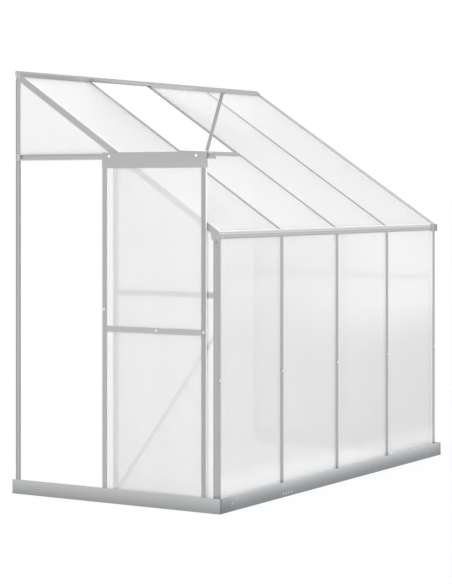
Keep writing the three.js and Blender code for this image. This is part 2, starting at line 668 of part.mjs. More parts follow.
function addSheets() {
  const frontTop = gutterBottom + gutter.floor - seat;
  const roofStartY = frontY + roofEnds.panelAtEave;
  const roofEndY = wallY - roofEnds.panelAtRidge - (sheetOuter + sheet) * sinPitch;
  const sillGrooveY = ventSillY - (ventSill.web + grooveBottomGap) * cosPitch;
  const sheetInner = sheetOuter + sheet;
  const sheetSection = (width) => [
    [0, sheetOuter], [width, sheetOuter], [width, sheetInner], [0, sheetInner],
  ];
  bayEdges.forEach(([x0, x1], k) => {
    const ys = [frontY + sheetOuter, frontY + sheetOuter + sheet];
    addPiece(`front_panel_${k + 1}`, box([x0, x1], ys, [sheetBottom, frontTop]), twinWall());
    const endY = k === 1 ? sillGrooveY : roofEndY;
    const slab = prism(sheetSection(x1 - x0), (endY - roofStartY) / cosPitch);
    const panel = place(slab, X, intoRoof, upSlope, roofPoint(x0, roofStartY));
    addPiece(`roof_panel_${k + 1}`, panel, twinWall());
  });

  const eaveEdge = frontY + edgeInGablePost;
  const middleEave = doorPostY - edgeInBar;
  const middleWall = doorPostY + edgeInBar;
  const wallEdge = wallY - edgeInWallPost;
  const notchY = frontY + gutter.back + seat;
  const notchZ = gutterBottom - 2 * seat;
  const topDepth = corner.rafterLeg - grooveDepth + grooveBottomGap;
  const top = (y) => roofZ(y, topDepth);
  const eaveTop = [
    [middleEave, top(middleEave)], [notchY, top(notchY)], [notchY, notchZ], [eaveEdge, notchZ],
  ];
  const girtEdge = bar.web / 2 + grooveBottomGap;
  const lowerTop = girt.height - girtEdge;
  const upperBottom = girt.height + girtEdge;
  const lower = [
    [eaveEdge, sheetBottom], [middleEave, sheetBottom], [middleEave, lowerTop], [eaveEdge, lowerTop],
  ];
  addPiece('gable_panel_near_lower', gableSheet(-1, lower), twinWall());
  const upper = [[eaveEdge, upperBottom], [middleEave, upperBottom], ...eaveTop];
  addPiece('gable_panel_near_upper', gableSheet(-1, upper), twinWall());
  const overDoorBottom = trackBottom + track.wall + seat;
  const overDoor = [
    [middleWall, overDoorBottom], [wallEdge, overDoorBottom],
    [wallEdge, top(wallEdge)], [middleWall, top(middleWall)],
  ];
  addPiece('gable_panel_over_door', gableSheet(-1, overDoor), twinWall());
  const farEave = [[eaveEdge, sheetBottom], [middleEave, sheetBottom], ...eaveTop];
  addPiece('gable_panel_far_eave', gableSheet(1, farEave), twinWall());
  const farWall = [
    [middleWall, sheetBottom], [wallEdge, sheetBottom],
    [wallEdge, top(wallEdge)], [middleWall, top(middleWall)],
  ];
  addPiece('gable_panel_far_wall', gableSheet(1, farWall), twinWall());
}

// Door track: a channel open to the outside, with a ledge behind it for the sheet over the doorway

const trackFace = seat;
const trackWallY = wallY - track.wallEnd;
const trackEaveY = frontY + track.eaveEnd;
const railX = (out) => -halfLength - out;

function addTrack() {
  const { height, depth, wall } = track;
  const z0 = trackBottom;
  const z1 = trackBottom + height;
  const outer = trackFace + depth;
  const channel = [
    [trackFace, z0], [outer, z0], [outer, z0 + wall + track.lip], [outer - wall, z0 + wall + track.lip],
    [outer - wall, z0 + wall], [trackFace + wall, z0 + wall], [trackFace + wall, z1 - wall],
    [outer - wall, z1 - wall], [outer - wall, z1 - wall - track.lip], [outer, z1 - wall - track.lip],
    [outer, z1], [trackFace, z1],
  ];
  const frame = (y) => new THREE.Vector3(-halfLength, y, 0);
  const straight = prism(channel, trackWallY - trackEaveY);
  const channelBody = place(straight, minus(X), Z, Y, frame(trackEaveY));
  const inner = lip + groove;
  const ledge = [
    [trackFace + wall, z0], [trackFace + wall, z0 + trackLedge.height], [-lip, z0 + trackLedge.height],
    [-lip, z0 + wall], [-inner, z0 + wall], [-inner, z0 + trackLedge.height],
    [-backFace, z0 + trackLedge.height], [-backFace, z0],
  ];
  const ledgeStart = doorPostY + bar.width / 2 + seat;
  const ledgeEnd = wallPostEdgeY - seat;
  const ledgeBody = place(prism(ledge, ledgeEnd - ledgeStart), minus(X), Z, Y, frame(ledgeStart));
  const plugXs = [railX(outer - wall - seat), railX(trackFace + wall / 2)];
  const plug = box(plugXs, [wallPlugY, trackWallY], [z0 + wall / 2, z1 - wall / 2]);
  addPiece('door_track', join(channelBody, ledgeBody, plug), aluminium());

  const stopXs = [railX(outer - wall - seat), railX(trackFace + wall + seat)];
  const plateY = trackEaveY - seat;
  const stopYs = [plateY - trackStop.plate / 2, trackEaveY + trackStop.plug];
  const plugBody = box(stopXs, stopYs, [z0 + wall + seat, z1 - wall - seat]);
  const platePart = box([railX(outer), railX(trackFace)], [plateY - trackStop.plate, plateY], [z0, z1]);
  addPiece('track_stop', join(plugBody, platePart), aluminium());
}

// Sliding door, shown slid open towards the eave

const doorWidth = wallPostEdgeY - doorPostY + door.lap;
const doorWallY = doorPostY + door.pastPost;
const doorEaveY = doorWallY - doorWidth;
const doorOuter = door.inner + door.depth;
const paneOuter = doorOuter - lip - seat;
const rollerZ = trackBottom + track.wall + seat + roller.radius;
const rollerYs = { wall: doorWallY - rollerInset.wall, eave: doorEaveY + rollerInset.eave };

// The roller on the wall side meets the plug when the door covers the doorway
const doorTravel = wallPostEdgeY + door.shutLap - doorWallY;
const wallPlugY = rollerYs.wall + doorTravel + roller.radius + seat;

const doorGroup = new THREE.Group();
doorGroup.position.set(-halfLength, doorWallY - doorWidth / 2, 0);
greenhouse.add(doorGroup);

function addDoor() {
  const add = (name, geometry, material) => addPiece(name, geometry, material, doorGroup);
  const half = doorWidth / 2;
  const out = minus(X);
  const at = (y, z = 0) => new THREE.Vector3(0, y, z);
  const grooveBack = doorOuter - lip - groove;
  const flangeBack = grooveBack - innerFlange;
  const boxTop = topRailBottom + topRail.height;

  const stileTop = topRailBottom - seat;
  const stileBottom = door.bottom + bottomRail.height + seat;
  const grooveStart = stile.width - stile.groove;
  const stileOutline = [
    [0, doorOuter], [0, door.inner], [lip, door.inner], [lip, flangeBack], [stile.width, flangeBack],
    [stile.width, grooveBack], [grooveStart, grooveBack], [grooveStart, doorOuter - lip],
    [stile.width, doorOuter - lip], [stile.width, doorOuter],
  ];
  const w = stile.hollowWall;
  const stileCore = [
    [w, grooveBack], [grooveStart - w, grooveBack],
    [grooveStart - w, doorOuter - lip], [w, doorOuter - lip],
  ];
  for (const [name, side] of [['wall', 1], ['eave', -1]]) {
    const inward = Y.clone().multiplyScalar(-side);
    const body = prism(stileOutline, stileTop - stileBottom, [stileCore]);
    add(`door_stile_${name}`, place(body, inward, out, Z, at(side * half, stileBottom)), aluminium());
  }

  // Top rail: a hollow box under the track and a cover plate in front of it
  const topOutline = [
    [door.inner, topRailBottom], [grooveBack, topRailBottom],
    [grooveBack, topRailBottom + stile.groove], [doorOuter - lip, topRailBottom + stile.groove],
    [doorOuter - lip, topRailBottom], [doorOuter, topRailBottom],
    [doorOuter, doorTop], [doorOuter - topRail.cover, doorTop], [doorOuter - topRail.cover, boxTop],
    [door.inner, boxTop],
  ];
  const boxFloor = topRailBottom + stile.groove + lip;
  const boxHollow = [
    [door.inner + lip, boxFloor], [doorOuter - lip, boxFloor], [doorOuter - lip, boxTop - lip],
    [door.inner + lip, boxTop - lip],
  ];
  const rail = place(prism(topOutline, doorWidth, [boxHollow]), out, Z, Y, at(-half));
  const wheelOut = trackFace + track.wall + (track.depth - 2 * track.wall) / 2 - roller.width / 2;
  const wheelOuter = wheelOut + roller.width;
  const bolts = Object.values(rollerYs).flatMap((worldY) => {
    const y = worldY - doorGroup.position.y;
    const pin = (radius, from, to) => pinX(radius, -to, -from, y, rollerZ);
    const { head, headHeight, collar, end, endWidth } = rollerBolt;
    const insideEnd = wheelOut - seat;
    return [
      pin(rollerBolt.pin, insideEnd - endWidth / 2, doorOuter),
      pin(collar, wheelOuter + seat, doorOuter - topRail.cover / 2),
      pin(head, doorOuter - topRail.cover / 2, doorOuter + headHeight),
      pin(end, insideEnd - endWidth, insideEnd),
    ];
  });
  add('door_top_rail', join(rail, ...bolts), aluminium());

  // Middle rail between the stiles, with a groove above and below
  const railHalf = midRail.height / 2;
  const midWeb = railHalf - stile.groove;
  const midOutline = [
    [doorOuter, -railHalf], [doorOuter, railHalf], [doorOuter - lip, railHalf], [doorOuter - lip, midWeb],
    [grooveBack, midWeb], [grooveBack, railHalf], [flangeBack, railHalf], [flangeBack, lip / 2],
    [door.inner, lip / 2], [door.inner, -lip / 2], [flangeBack, -lip / 2], [flangeBack, -railHalf],
    [grooveBack, -railHalf], [grooveBack, -midWeb],
    [doorOuter - lip, -midWeb], [doorOuter - lip, -railHalf],
  ];
  const betweenStiles = half - stile.width - seat;
  const middle = prism(midOutline, 2 * betweenStiles);
  add('door_mid_rail', place(middle, out, Z, Y, at(-betweenStiles, midRailZ)), aluminium());

  // Bottom rail: a groove for the pane above, and a slot below that straddles the guide rib
  const { slot, leg, plate, plateRise, height } = bottomRail;
  const slotCentre = guide.ribOffset + guide.rib / 2;
  const slotIn = slotCentre - slot / 2;
  const slotOut = slotCentre + slot / 2;
  const bottomOutline = [
    [slotIn - leg, 0], [slotIn, 0], [slotIn, plateRise], [slotOut, plateRise], [slotOut, 0],
    [slotOut + leg, 0], [slotOut + leg, plateRise], [doorOuter - lip, plateRise], [doorOuter - lip, 0],
    [doorOuter, 0], [doorOuter, height], [doorOuter - lip, height], [doorOuter - lip, plateRise + plate],
    [grooveBack, plateRise + plate], [grooveBack, height], [flangeBack, height],
    [flangeBack, plateRise + plate], [slotIn - leg, plateRise + plate],
  ];
  const bottomBody = place(prism(bottomOutline, doorWidth), out, Z, Y, at(-half, door.bottom));
  add('door_bottom_rail', bottomBody, aluminium());

  // Panes
  const paneHalf = half - grooveStart - grooveBottomGap;
  const paneXs = [-paneOuter, -(paneOuter - sheet)];
  const lowerZs = [door.bottom + plateRise + plate + seat, midRailZ - midWeb - seat];
  const upperZs = [midRailZ + midWeb + seat, topRailBottom + stile.groove - seat];
  add('door_pane_lower', box(paneXs, [-paneHalf, paneHalf], lowerZs), twinWall());
  add('door_pane_upper', box(paneXs, [-paneHalf, paneHalf], upperZs), twinWall());

  // Rollers inside the track
  const { radius, width, bore, rim, hub, dish } = roller;
  const profile = [
    [bore, 0], [hub, 0], [hub + rim, dish], [radius - 2 * rim, dish], [radius - rim, 0], [radius, rim],
    [radius, width - rim], [radius - rim, width], [radius - 2 * rim, width - dish],
    [hub + rim, width - dish], [hub, width], [bore, width], [bore, 0],
  ].map(([r, h]) => new THREE.Vector2(r, h));
  for (const [name, worldY] of Object.entries(rollerYs)) {
    const wheel = new THREE.LatheGeometry(profile, roundSteps);
    wheel.rotateZ(Math.PI / 2);
    const body = welded(wheel).translate(-wheelOut, worldY - doorGroup.position.y, rollerZ);
    add(`door_roller_${name}`, body, nylon());
  }
}

// Vent leaf, built flat and outward from its hinge, then pitched open

const ventGroup = new THREE.Group();
ventGroup.position.set(ventX, socketY, socketZ);
ventGroup.rotation.x = ventRest;
greenhouse.add(ventGroup);

function addVent() {
  const add = (name, geometry, material) => addPiece(name, geometry, material, ventGroup);
  const halfWidth = bayPitch / 2 - vent.sideGap;
  const outward = minus(Y);
  const { top, bottom, rail, wall, length } = vent;
  const slot = groove / 2;
  const at = (x, y = 0, z = 0) => new THREE.Vector3(x, y, z);

  // Head rail: bead and neck in the ridge socket, then a body with the groove for the sheet
  const { bead, neck, bodyStart, bodyEnd } = ventHead;
  const neckAngle = Math.asin(neck / 2 / bead);
  const beadArc = Array.from({ length: socketSteps + 1 }, (_, k) => {
    const angle = neckAngle + ((2 * Math.PI - 2 * neckAngle) * k) / socketSteps;
    return [bead * Math.cos(angle), bead * Math.sin(angle)];
  });
  const grooveStart = bodyEnd - grooveDepth;
  const headOutline = [
    ...beadArc, [bodyStart, -neck / 2], [bodyStart, -bottom], [bodyEnd, -bottom], [bodyEnd, -slot],
    [grooveStart, -slot], [grooveStart, slot], [bodyEnd, slot], [bodyEnd, top], [bodyStart, top],
    [bodyStart, neck / 2],
  ];
  const headBody = place(prism(headOutline, 2 * halfWidth), outward, Z, X, at(-halfWidth));
  add('vent_head_rail', headBody, aluminium());

  // Foot rail across the open edge, with the lug and pin that carry the stay
  const railOutline = [
    [0, -bottom], [rail, -bottom], [rail, top], [0, top], [0, slot], [grooveDepth, slot],
    [grooveDepth, -slot], [0, -slot],
  ];
  const railHollow = [
    [grooveDepth + wall, -bottom + wall], [rail - wall, -bottom + wall], [rail - wall, top - wall],
    [grooveDepth + wall, top - wall],
  ];
  const footStart = length - rail;
  const footBody = prism(railOutline, 2 * halfWidth, [railHollow]);
  const foot = place(footBody, outward, Z, X, at(-halfWidth, -footStart));
  const lugX = -stay.thickness / 2 - seat - stayLug.thickness;
  const { pivotAlong, pivotBelow } = stay;
  const lugOutline = [
    [pivotAlong - stayLug.radius, -pivotBelow], [pivotAlong, -pivotBelow - stayLug.radius],
    [pivotAlong + stayLug.radius, -pivotBelow], [footStart + stayLug.overlap, -bottom + wall / 2],
    [footStart + wall, -bottom + wall / 2],
  ];
  const lug = place(prism(lugOutline, stayLug.thickness), outward, Z, X, at(lugX));
  const pinEnd = stay.thickness / 2 + seat;
  const pinXs = [lugX + stayLug.thickness / 2, pinEnd + stayLug.headWidth / 2];
  const pin = pinX(stay.pin, ...pinXs, -pivotAlong, -pivotBelow);
  const head = pinX(stayLug.head, pinEnd, pinEnd + stayLug.headWidth, -pivotAlong, -pivotBelow);
  add('vent_foot_rail', join(foot, lug, pin, head), aluminium());

  // Side rails between head and foot
  const sideLength = footStart - bodyEnd - 2 * seat;
  for (const [name, side] of [['near', -1], ['far', 1]]) {
    const inward = X.clone().multiplyScalar(-side);
    const outline = railOutline.map(([a, b]) => [rail - a, b]);
    const hollow = railHollow.map(([a, b]) => [rail - a, b]);
    const start = at(side * halfWidth, -bodyEnd - seat);
    const body = place(prism(outline, sideLength, [hollow]), inward, Z, outward, start);
    add(`vent_side_rail_${name}`, body, aluminium());
  }

  const paneHalf = halfWidth - rail + grooveDepth - grooveBottomGap;
  const paneYs = [-footStart - grooveDepth + grooveBottomGap, -grooveStart - grooveBottomGap];
  add('vent_panel', box([-paneHalf, paneHalf], paneYs, [-sheet / 2, sheet / 2]), twinWall());

  // Stay: a flat bar with a round end at the pin and a hole for the peg
  const stayGroup = new THREE.Group();
  stayGroup.position.set(0, -pivotAlong, -pivotBelow);
  stayGroup.rotation.x = stayTurn;
  ventGroup.add(stayGroup);
  const r = stay.width / 2;
  const shape = new THREE.Shape();
  shape.absarc(0, 0, r, Math.PI / 2, (3 * Math.PI) / 2);
  shape.absarc(stayLength, 0, r, -Math.PI / 2, Math.PI / 2);
  shape.holes = [new THREE.Path().absarc(0, 0, stay.pinHole, 0, 2 * Math.PI, true)];
  const strap = extruded(shape, stay.thickness, roundSteps / 2);
  addPiece('vent_stay', place(strap, outward, Z, X, at(-stay.thickness / 2)), aluminium(), stayGroup);
}

addBases();
addSills();
addPosts();
addGableBracing();
addGutter();
addRidge();
addRoofBars();
addVentSill();
addSheets();
addTrack();
addDoor();
addVent();

export default greenhouse;
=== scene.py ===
# %% [markdown]
# # A lean-to greenhouse
# A lean-to greenhouse stands against a house wall. Its skeleton is aluminium bar, its skin is
# twin-wall sheet, and a folded steel base keeps it square. The frame comes in finished in its
# shapes, so this lesson gives each piece the surface that the real one has, adds the small
# fasteners, and lights it all softly.

# %% Bring in the frame
import json
import math

import bmesh
import bpy
from mathutils import Matrix, Vector


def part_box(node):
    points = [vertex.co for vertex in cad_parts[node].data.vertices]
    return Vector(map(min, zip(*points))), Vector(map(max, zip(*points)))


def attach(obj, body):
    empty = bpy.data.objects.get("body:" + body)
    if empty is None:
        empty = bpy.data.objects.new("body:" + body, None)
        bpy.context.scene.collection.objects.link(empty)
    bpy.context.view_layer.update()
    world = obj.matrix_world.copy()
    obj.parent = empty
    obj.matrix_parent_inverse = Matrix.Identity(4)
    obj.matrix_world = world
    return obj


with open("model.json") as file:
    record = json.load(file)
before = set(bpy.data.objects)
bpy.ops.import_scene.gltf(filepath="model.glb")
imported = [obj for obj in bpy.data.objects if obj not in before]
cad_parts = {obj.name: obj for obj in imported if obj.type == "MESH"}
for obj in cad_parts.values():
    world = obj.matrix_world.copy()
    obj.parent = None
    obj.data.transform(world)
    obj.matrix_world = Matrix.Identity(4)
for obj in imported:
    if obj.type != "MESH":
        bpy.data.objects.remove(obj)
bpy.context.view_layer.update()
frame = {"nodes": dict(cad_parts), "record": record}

nodes = frame["nodes"]

# %% [markdown]
# ## Where the camera stands
# The picture was taken level, from well back with a long lens, so upright posts stay parallel.
# A level camera with a small downward shift keeps them so; tilting the camera would make them
# lean together. The focal length is given in pixels of the picture's height, and the heading in
# radians from the X axis.

# %% Camera
PICTURE_HEIGHT, FOCAL_PIXELS, EYE_LEVEL_ROW = 584, 1939.5, 189.68
SENSOR = 36.0
CAMERA_PLACE = (-9.3318, -5.6189, 1.5893)
HEADING = 0.5498
FARTHEST_SEEN = 200.0

camera_data = bpy.data.cameras.new("view_camera")
camera_data.sensor_width = SENSOR
camera_data.lens = FOCAL_PIXELS * SENSOR / PICTURE_HEIGHT
camera_data.shift_y = (EYE_LEVEL_ROW - PICTURE_HEIGHT / 2) / PICTURE_HEIGHT
camera_data.clip_end = FARTHEST_SEEN
camera = bpy.data.objects.new("view_camera", camera_data)
bpy.context.scene.collection.objects.link(camera)
camera.location = CAMERA_PLACE
camera.rotation_euler = (math.pi / 2, 0.0, HEADING - math.pi / 2)
bpy.context.scene.camera = camera
print("lens mm:", round(camera_data.lens, 1), "shift:", round(camera_data.shift_y, 4))

# %% [markdown]
# ## Writing materials as sums
# A procedural finish is arithmetic on numbers that change over the surface. Wiring that by hand
# takes many lines, so one small class wraps a socket and lets plain Python operators add the
# Math nodes. Every node, those too, comes from one method, which sets a node's settings first
# and then fills its sockets.

# %% A socket that can be added and multiplied
class Level:
    """One output of a node, with the wiring that it belongs to."""

    def __init__(self, wiring, socket):
        self.wiring = wiring
        self.socket = socket

    def combine(self, operation, *values):
        return self.wiring.node("Math", {"operation": operation}, dict(enumerate(values)))

    def __add__(self, other):
        return self.combine("ADD", self, other)

    def __radd__(self, other):
        return self.combine("ADD", other, self)

    def __sub__(self, other):
        return self.combine("SUBTRACT", self, other)

    def __rsub__(self, other):
        return self.combine("SUBTRACT", other, self)

    def __mul__(self, other):
        return self.combine("MULTIPLY", self, other)

    def __rmul__(self, other):
        return self.combine("MULTIPLY", other, self)

    def __truediv__(self, other):
        return self.combine("DIVIDE", self, other)

    def __rtruediv__(self, other):
        return self.combine("DIVIDE", other, self)

    def __pow__(self, other):
        return self.combine("POWER", self, other)

    def __rpow__(self, other):
        return self.combine("POWER", other, self)

    def absolute(self):
        return self.combine("ABSOLUTE", self)

    def floor(self):
        return self.combine("FLOOR", self)

    def cosine(self):
        return self.combine("COSINE", self)

    def least(self, other):
        return self.combine("MINIMUM", self, other)

    def within(self, low, high):
        """0 below low, 1 above high, smooth between."""
        settings = {"interpolation_type": "SMOOTHSTEP"}
        sockets = {"Value": self, "From Min": low, "From Max": high}
        return self.wiring.node("MapRange", settings, sockets)


print("maths on sockets ready")

# %% Greys and colour ramps
def fill_ramp(ramp, stops):
    while len(ramp.elements) > len(stops):
        ramp.elements.remove(ramp.elements[-1])
    while len(ramp.elements) < len(stops):
        ramp.elements.new(1.0)
    for element, (position, colour) in zip(ramp.elements, stops):
        element.position = position
        element.color = colour


def grey(level, warmth=0.0):
    """A near-grey colour, a little warmer or cooler."""
    return (level * (1 + warmth), level, level * (1 - warmth), 1.0)


print("middle grey:", grey(0.5))

# %% One method for every node
class Wiring:
    """The nodes of one material, or of the world."""

    def __init__(self, tree):
        self.tree = tree

    def fill(self, node, values):
        """Gives sockets a plain value or a link."""
        for key, value in values.items():
            if isinstance(value, Level):
                self.tree.links.new(value.socket, node.inputs[key])
            else:
                node.inputs[key].default_value = value

    def node(self, kind, settings=None, sockets=None, output=0):
        """Settings, such as the stops of a ramp, come first, then the sockets' values or links."""
        made = self.tree.nodes.new("ShaderNode" + kind)
        for key, value in (settings or {}).items():
            if key == "stops":
                fill_ramp(made.color_ramp, value)
            else:
                setattr(made, key, value)
        self.fill(made, sockets or {})
        return Level(self, made.outputs[output])


print("wiring ready")

# %% A finish, which holds one material's nodes
class Finish(Wiring):
    def __init__(self, name, **shader_values):
        self.material = bpy.data.materials.new(name)
        self.material.use_nodes = True
        super().__init__(self.material.node_tree)
        self.shader = self.tree.nodes["Principled BSDF"]
        self.surface(**shader_values)

    def surface(self, **shader_values):
        """Fills sockets of the main shader, with their spaces written as underscores."""
        self.fill(self.shader, {key.replace("_", " "): value for key, value in shader_values.items()})

    def place(self):
        """Where a point of the surface is, in metres, in the greenhouse's own frame."""
        return self.node("TexCoord", output=3)

    def along(self, direction, scale=1.0):
        """How far a point lies along a direction, times a scale."""
        arrow = tuple(c * scale for c in Vector(direction).normalized())
        sockets = {0: self.place(), 1: arrow}
        return self.node("VectorMath", {"operation": "DOT_PRODUCT"}, sockets, output=1)

    def stretched(self, direction, along_scale, across_scale):
        """Coordinates drawn out along a direction, for streaks and brushing."""
        main = Vector(direction).normalized()
        side = main.orthogonal().normalized()
        third = main.cross(side)
        return self.node("CombineXYZ", sockets={
            "X": self.along(main, along_scale),
            "Y": self.along(side, across_scale),
            "Z": self.along(third, across_scale),
        })

    def noise(self, vector, scale, detail):
        return self.node("TexNoise", sockets={"Vector": vector, "Scale": scale, "Detail": detail})

    def blend(self, amount, low, high):
        """The low colour where the amount is 0, the high one where it is 1."""
        return self.node("Mix", {"data_type": "RGBA"}, {0: amount, 6: low, 7: high}, output=2)

    def times(self, colour, shade):
        """A colour darkened by another."""
        settings = {"data_type": "RGBA", "blend_type": "MULTIPLY"}
        return self.node("Mix", settings, {0: 1.0, 6: colour, 7: shade}, output=2)

    def bands(self, direction, stops):
        """A grey that goes with the place along a direction: pairs of place in metres and level."""
        start, end = stops[0][0], stops[-1][0]
        share = (self.along(direction) - start) / (end - start)
        stops = [((place - start) / (end - start), grey(level)) for place, level in stops]
        return self.node("ValToRGB", {"stops": stops}, {"Fac": share})

    def bump(self, height, distance, strength):
        sockets = {"Height": height, "Distance": distance, "Strength": strength}
        self.surface(Normal=self.node("Bump", sockets=sockets))


print("finish tools ready")

# %% [markdown]
# ## Outside and inside
# A bar of a greenhouse has outer faces, which the weather and the light reach, and faces inside
# its section, which look at one another a few millimetres apart and stand in shade. The two get
# different finishes on one mesh: the inner ones are painted pale, as light that lifts their shade.
# Painting them by hand would have to be done again for every bar, so each finish measures how far
# a point lies behind the outer skin, from a few planes.

# %% How far a point lies behind the skin
EAVE_Z, RIDGE_Z, DEPTH = 1.377, 2.203, 1.25
SLOPE = math.atan2(RIDGE_Z - EAVE_Z, DEPTH)
UP_ROOF = (0.0, math.cos(SLOPE), math.sin(SLOPE))
INTO_ROOF = (0.0, math.sin(SLOPE), -math.cos(SLOPE))
END_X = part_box("corner_post_far")[1][0]
FRONT_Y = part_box("front_bar_1")[0][1]
BASE_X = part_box("base_gable_far")[1][0]
BASE_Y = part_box("base_front_near")[0][1]
DOOR_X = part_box("door_stile_wall")[0][0]
AXES = {"length": (1, 0, 0), "depth": (0, 1, 0), "upright": (0, 0, 1), "slope": UP_ROOF}


def behind_skin(finish):
    """How far a point lies behind the nearest outer face of the frame."""
    ends = END_X - finish.along(AXES["length"]).absolute()
    front = finish.along(AXES["depth"]) - FRONT_Y
    roof = finish.along(INTO_ROOF) - (FRONT_Y * INTO_ROOF[1] + EAVE_Z * INTO_ROOF[2])
    return ends.least(front).least(roof)


def behind_door(finish):
    return finish.along(AXES["length"]) - DOOR_X


def behind_base(finish):
    ends = BASE_X - finish.along(AXES["length"]).absolute()
    return ends.least(finish.along(AXES["depth"]) - BASE_Y)


print("roof slope in degrees:", round(math.degrees(SLOPE), 2))

# %% [markdown]
# ## Extruded aluminium
# Bars are pushed hot through a die, so their faces are satin with faint lines that run along
# them. Three things show that: metal colour, streaks in the roughness along the bar, and a very
# shallow bump. The lines follow the bar, so each direction has its own copy, and so has each
# place whose grey is painted lighter or darker for the light and shade that fall on it. Inside a
# section the faces are painted pale and nearly matt, as light that lifts their shade, since a
# mirror there would only show its dark neighbour.

# %% Aluminium finish
# Inner faces are painted pale and nearly matt, as light that lifts their shade
INNER_LIGHT_LEVEL, INNER_LIGHT_METAL = 0.86, 0.15
# Metres behind the skin where the outer finish ends and the inner one begins
BAR_SKIN = (0.0015, 0.0025)
LINES_ALONG, LINES_ACROSS = 3.0, 900.0
CLOUDS_ALONG, CLOUDS_ACROSS = 1.2, 14.0
aluminium = {}


def drawn_aluminium(key, axis, level=0.46, bands=None, behind=behind_skin,
                    inner_light_level=INNER_LIGHT_LEVEL, metal=0.85):
    """bands: greys that follow one another along a direction; behind: what tells inner faces
    from outer ones, or nothing where all faces are alike."""
    finish = Finish(f"aluminium_{key}", Metallic=metal)
    lines = finish.noise(finish.stretched(AXES[axis], LINES_ALONG, LINES_ACROSS), 1.0, 3.0)
    clouds = finish.noise(finish.stretched(AXES[axis], CLOUDS_ALONG, CLOUDS_ACROSS), 1.0, 4.0)
    tone = ((clouds - 0.5) * 0.5 + (lines - 0.5) * 0.35 + 0.5).within(0.2, 0.8)
    colour = finish.blend(tone, grey(level * 0.92, -0.01), grey(level * 1.07))
    if bands:
        colour = finish.times(colour, finish.bands(*bands))
    # Painted light: the faces inside the section are pale
    if behind:
        inner_light = behind(finish).within(*BAR_SKIN)
        pale = finish.blend(tone, grey(inner_light_level * 0.96), grey(inner_light_level * 1.04))
        colour = finish.blend(inner_light, colour, pale)
        finish.surface(Metallic=metal - inner_light * (metal - INNER_LIGHT_METAL))
    finish.surface(
        Base_Color=colour, Roughness=(lines - 0.5) * 0.22 + (clouds - 0.5) * 0.12 + 0.42,
    )
    finish.bump(lines, 0.00015, 0.35)
    aluminium[key] = finish.material


print("drawing lines per metre across a bar:", round(LINES_ACROSS))

# %% Plain bars
for key in ("length", "depth", "slope"):
    drawn_aluminium(key, key)
drawn_aluminium("upright", "upright", 0.44)
# The greys of the far rafter, the vent's head rail and the track are painted lighter, as light on pieces
# that stand in shade. The stop's grey is painted darker, as shade in the track's channel. The sill is
# painted pale and nearly matt, as light that lifts the shade of the trough behind the base.
drawn_aluminium("far_rafter", "slope", 0.64)
drawn_aluminium("vent_head", "length", 0.60)
drawn_aluminium("vent_side", "slope", 0.54)
drawn_aluminium("sill", "length", 0.92, inner_light_level=0.55, metal=0.15)
drawn_aluminium("girt", "depth", 0.48, behind=None, metal=0.4)
drawn_aluminium("track", "depth", 0.56, behind=None)
drawn_aluminium("stop", "depth", 0.42, behind=None)
print("plain bars:", sorted(aluminium))

# %% [markdown]
# ## Bars whose grey changes along them
# The gutter and the wall post have folds and beads too fine to catch their own light, so their
# light and shade are painted in bands. The roof bars are painted paler towards the ridge, as light,
# the ridge strips darker at the near end, as shade, and the door's two stiles a little darker and
# lighter for the light that falls on them. A ramp laid along one direction gives each of them its
# bands: pairs of a place in metres and a share of the grey.

# %% Banded bars
UP, ALONG, ACROSS = AXES["upright"], AXES["length"], AXES["depth"]
# Painted light: the roof bars paler towards the ridge
ROOF_BANDS = (UP, [(1.38, 1.0), (1.70, 1.05), (1.95, 1.15), (2.10, 1.30), (2.20, 1.45)])
# Painted shade and light: the eave stile darker, the wall stile lighter
STILE_BANDS = (ACROSS, [(-0.5501, 0.955), (-0.50, 0.955), (0.02, 1.065), (0.0689, 1.065)])
# Painted shade: a darker strip on the wall post's wall side
POST_BANDS = (ACROSS, [(0.600, 1.0), (0.626, 1.0), (0.629, 0.76), (0.640, 0.76)])
# Painted light and shade on the gutter's folds and beads
GUTTER_BANDS = (UP, [
    (1.3460, 0.74), (1.3530, 0.76), (1.3545, 0.93), (1.3590, 0.93),
    (1.3600, 0.82), (1.3655, 0.82), (1.3668, 1.00), (1.3820, 1.00),
])
# Painted shade: the ridge strips darker at the near end, lighter by the vent
RIDGE_BANDS = (ALONG, [
    (-1.234, 0.74), (-0.80, 0.74), (-0.64, 0.98), (-0.60, 1.1), (0.0, 1.0), (1.234, 0.97),
])
drawn_aluminium("roof_bar", "slope", 0.445, bands=ROOF_BANDS)
drawn_aluminium("wall_post", "upright", 0.47, bands=POST_BANDS, behind=None)
drawn_aluminium("gutter", "length", 0.60, bands=GUTTER_BANDS)
drawn_aluminium("ridge_strip", "length", 0.46, bands=RIDGE_BANDS, behind=None)
# Behind the door's face the faces are painted pale, as light that lifts their shade
for key, axis, level, bands in (
    ("door_rail", "depth", 0.445, None), ("door_middle", "depth", 0.49, None),
    ("door_stile", "upright", 0.42, STILE_BANDS),
):
    drawn_aluminium(key, axis, level, bands, behind_door, inner_light_level=0.94)
print("all bars:", sorted(aluminium))

# %% [markdown]
# ## Galvanised base
# Hot-dip zinc freezes in crystals, which show as pale and dark flakes a centimetre or so wide.
# A Voronoi texture gives the flakes, and a slow noise gives the duller clouds between them. Each
# side is painted its own grey for the light that falls on it, and darker towards the bottom, as
# shade and a painted reflection of the ground. The door gable's length is folded round the corner,
# and the fold is painted as a thin dark line of shade. The front beside it is painted a little
# darker, as shade. Inside, the zinc is painted pale, as light that lifts the shade in the trough.

# %% Zinc finish
# The zinc inside is painted pale, as light that lifts the shade in the trough
INSIDE_ZINC_LIGHT = 0.88
ZINC_SKIN = (0.0006, 0.0012)
FLAKES_PER_METRE, DULL_CLOUDS_PER_METRE = 70.0, 9.0


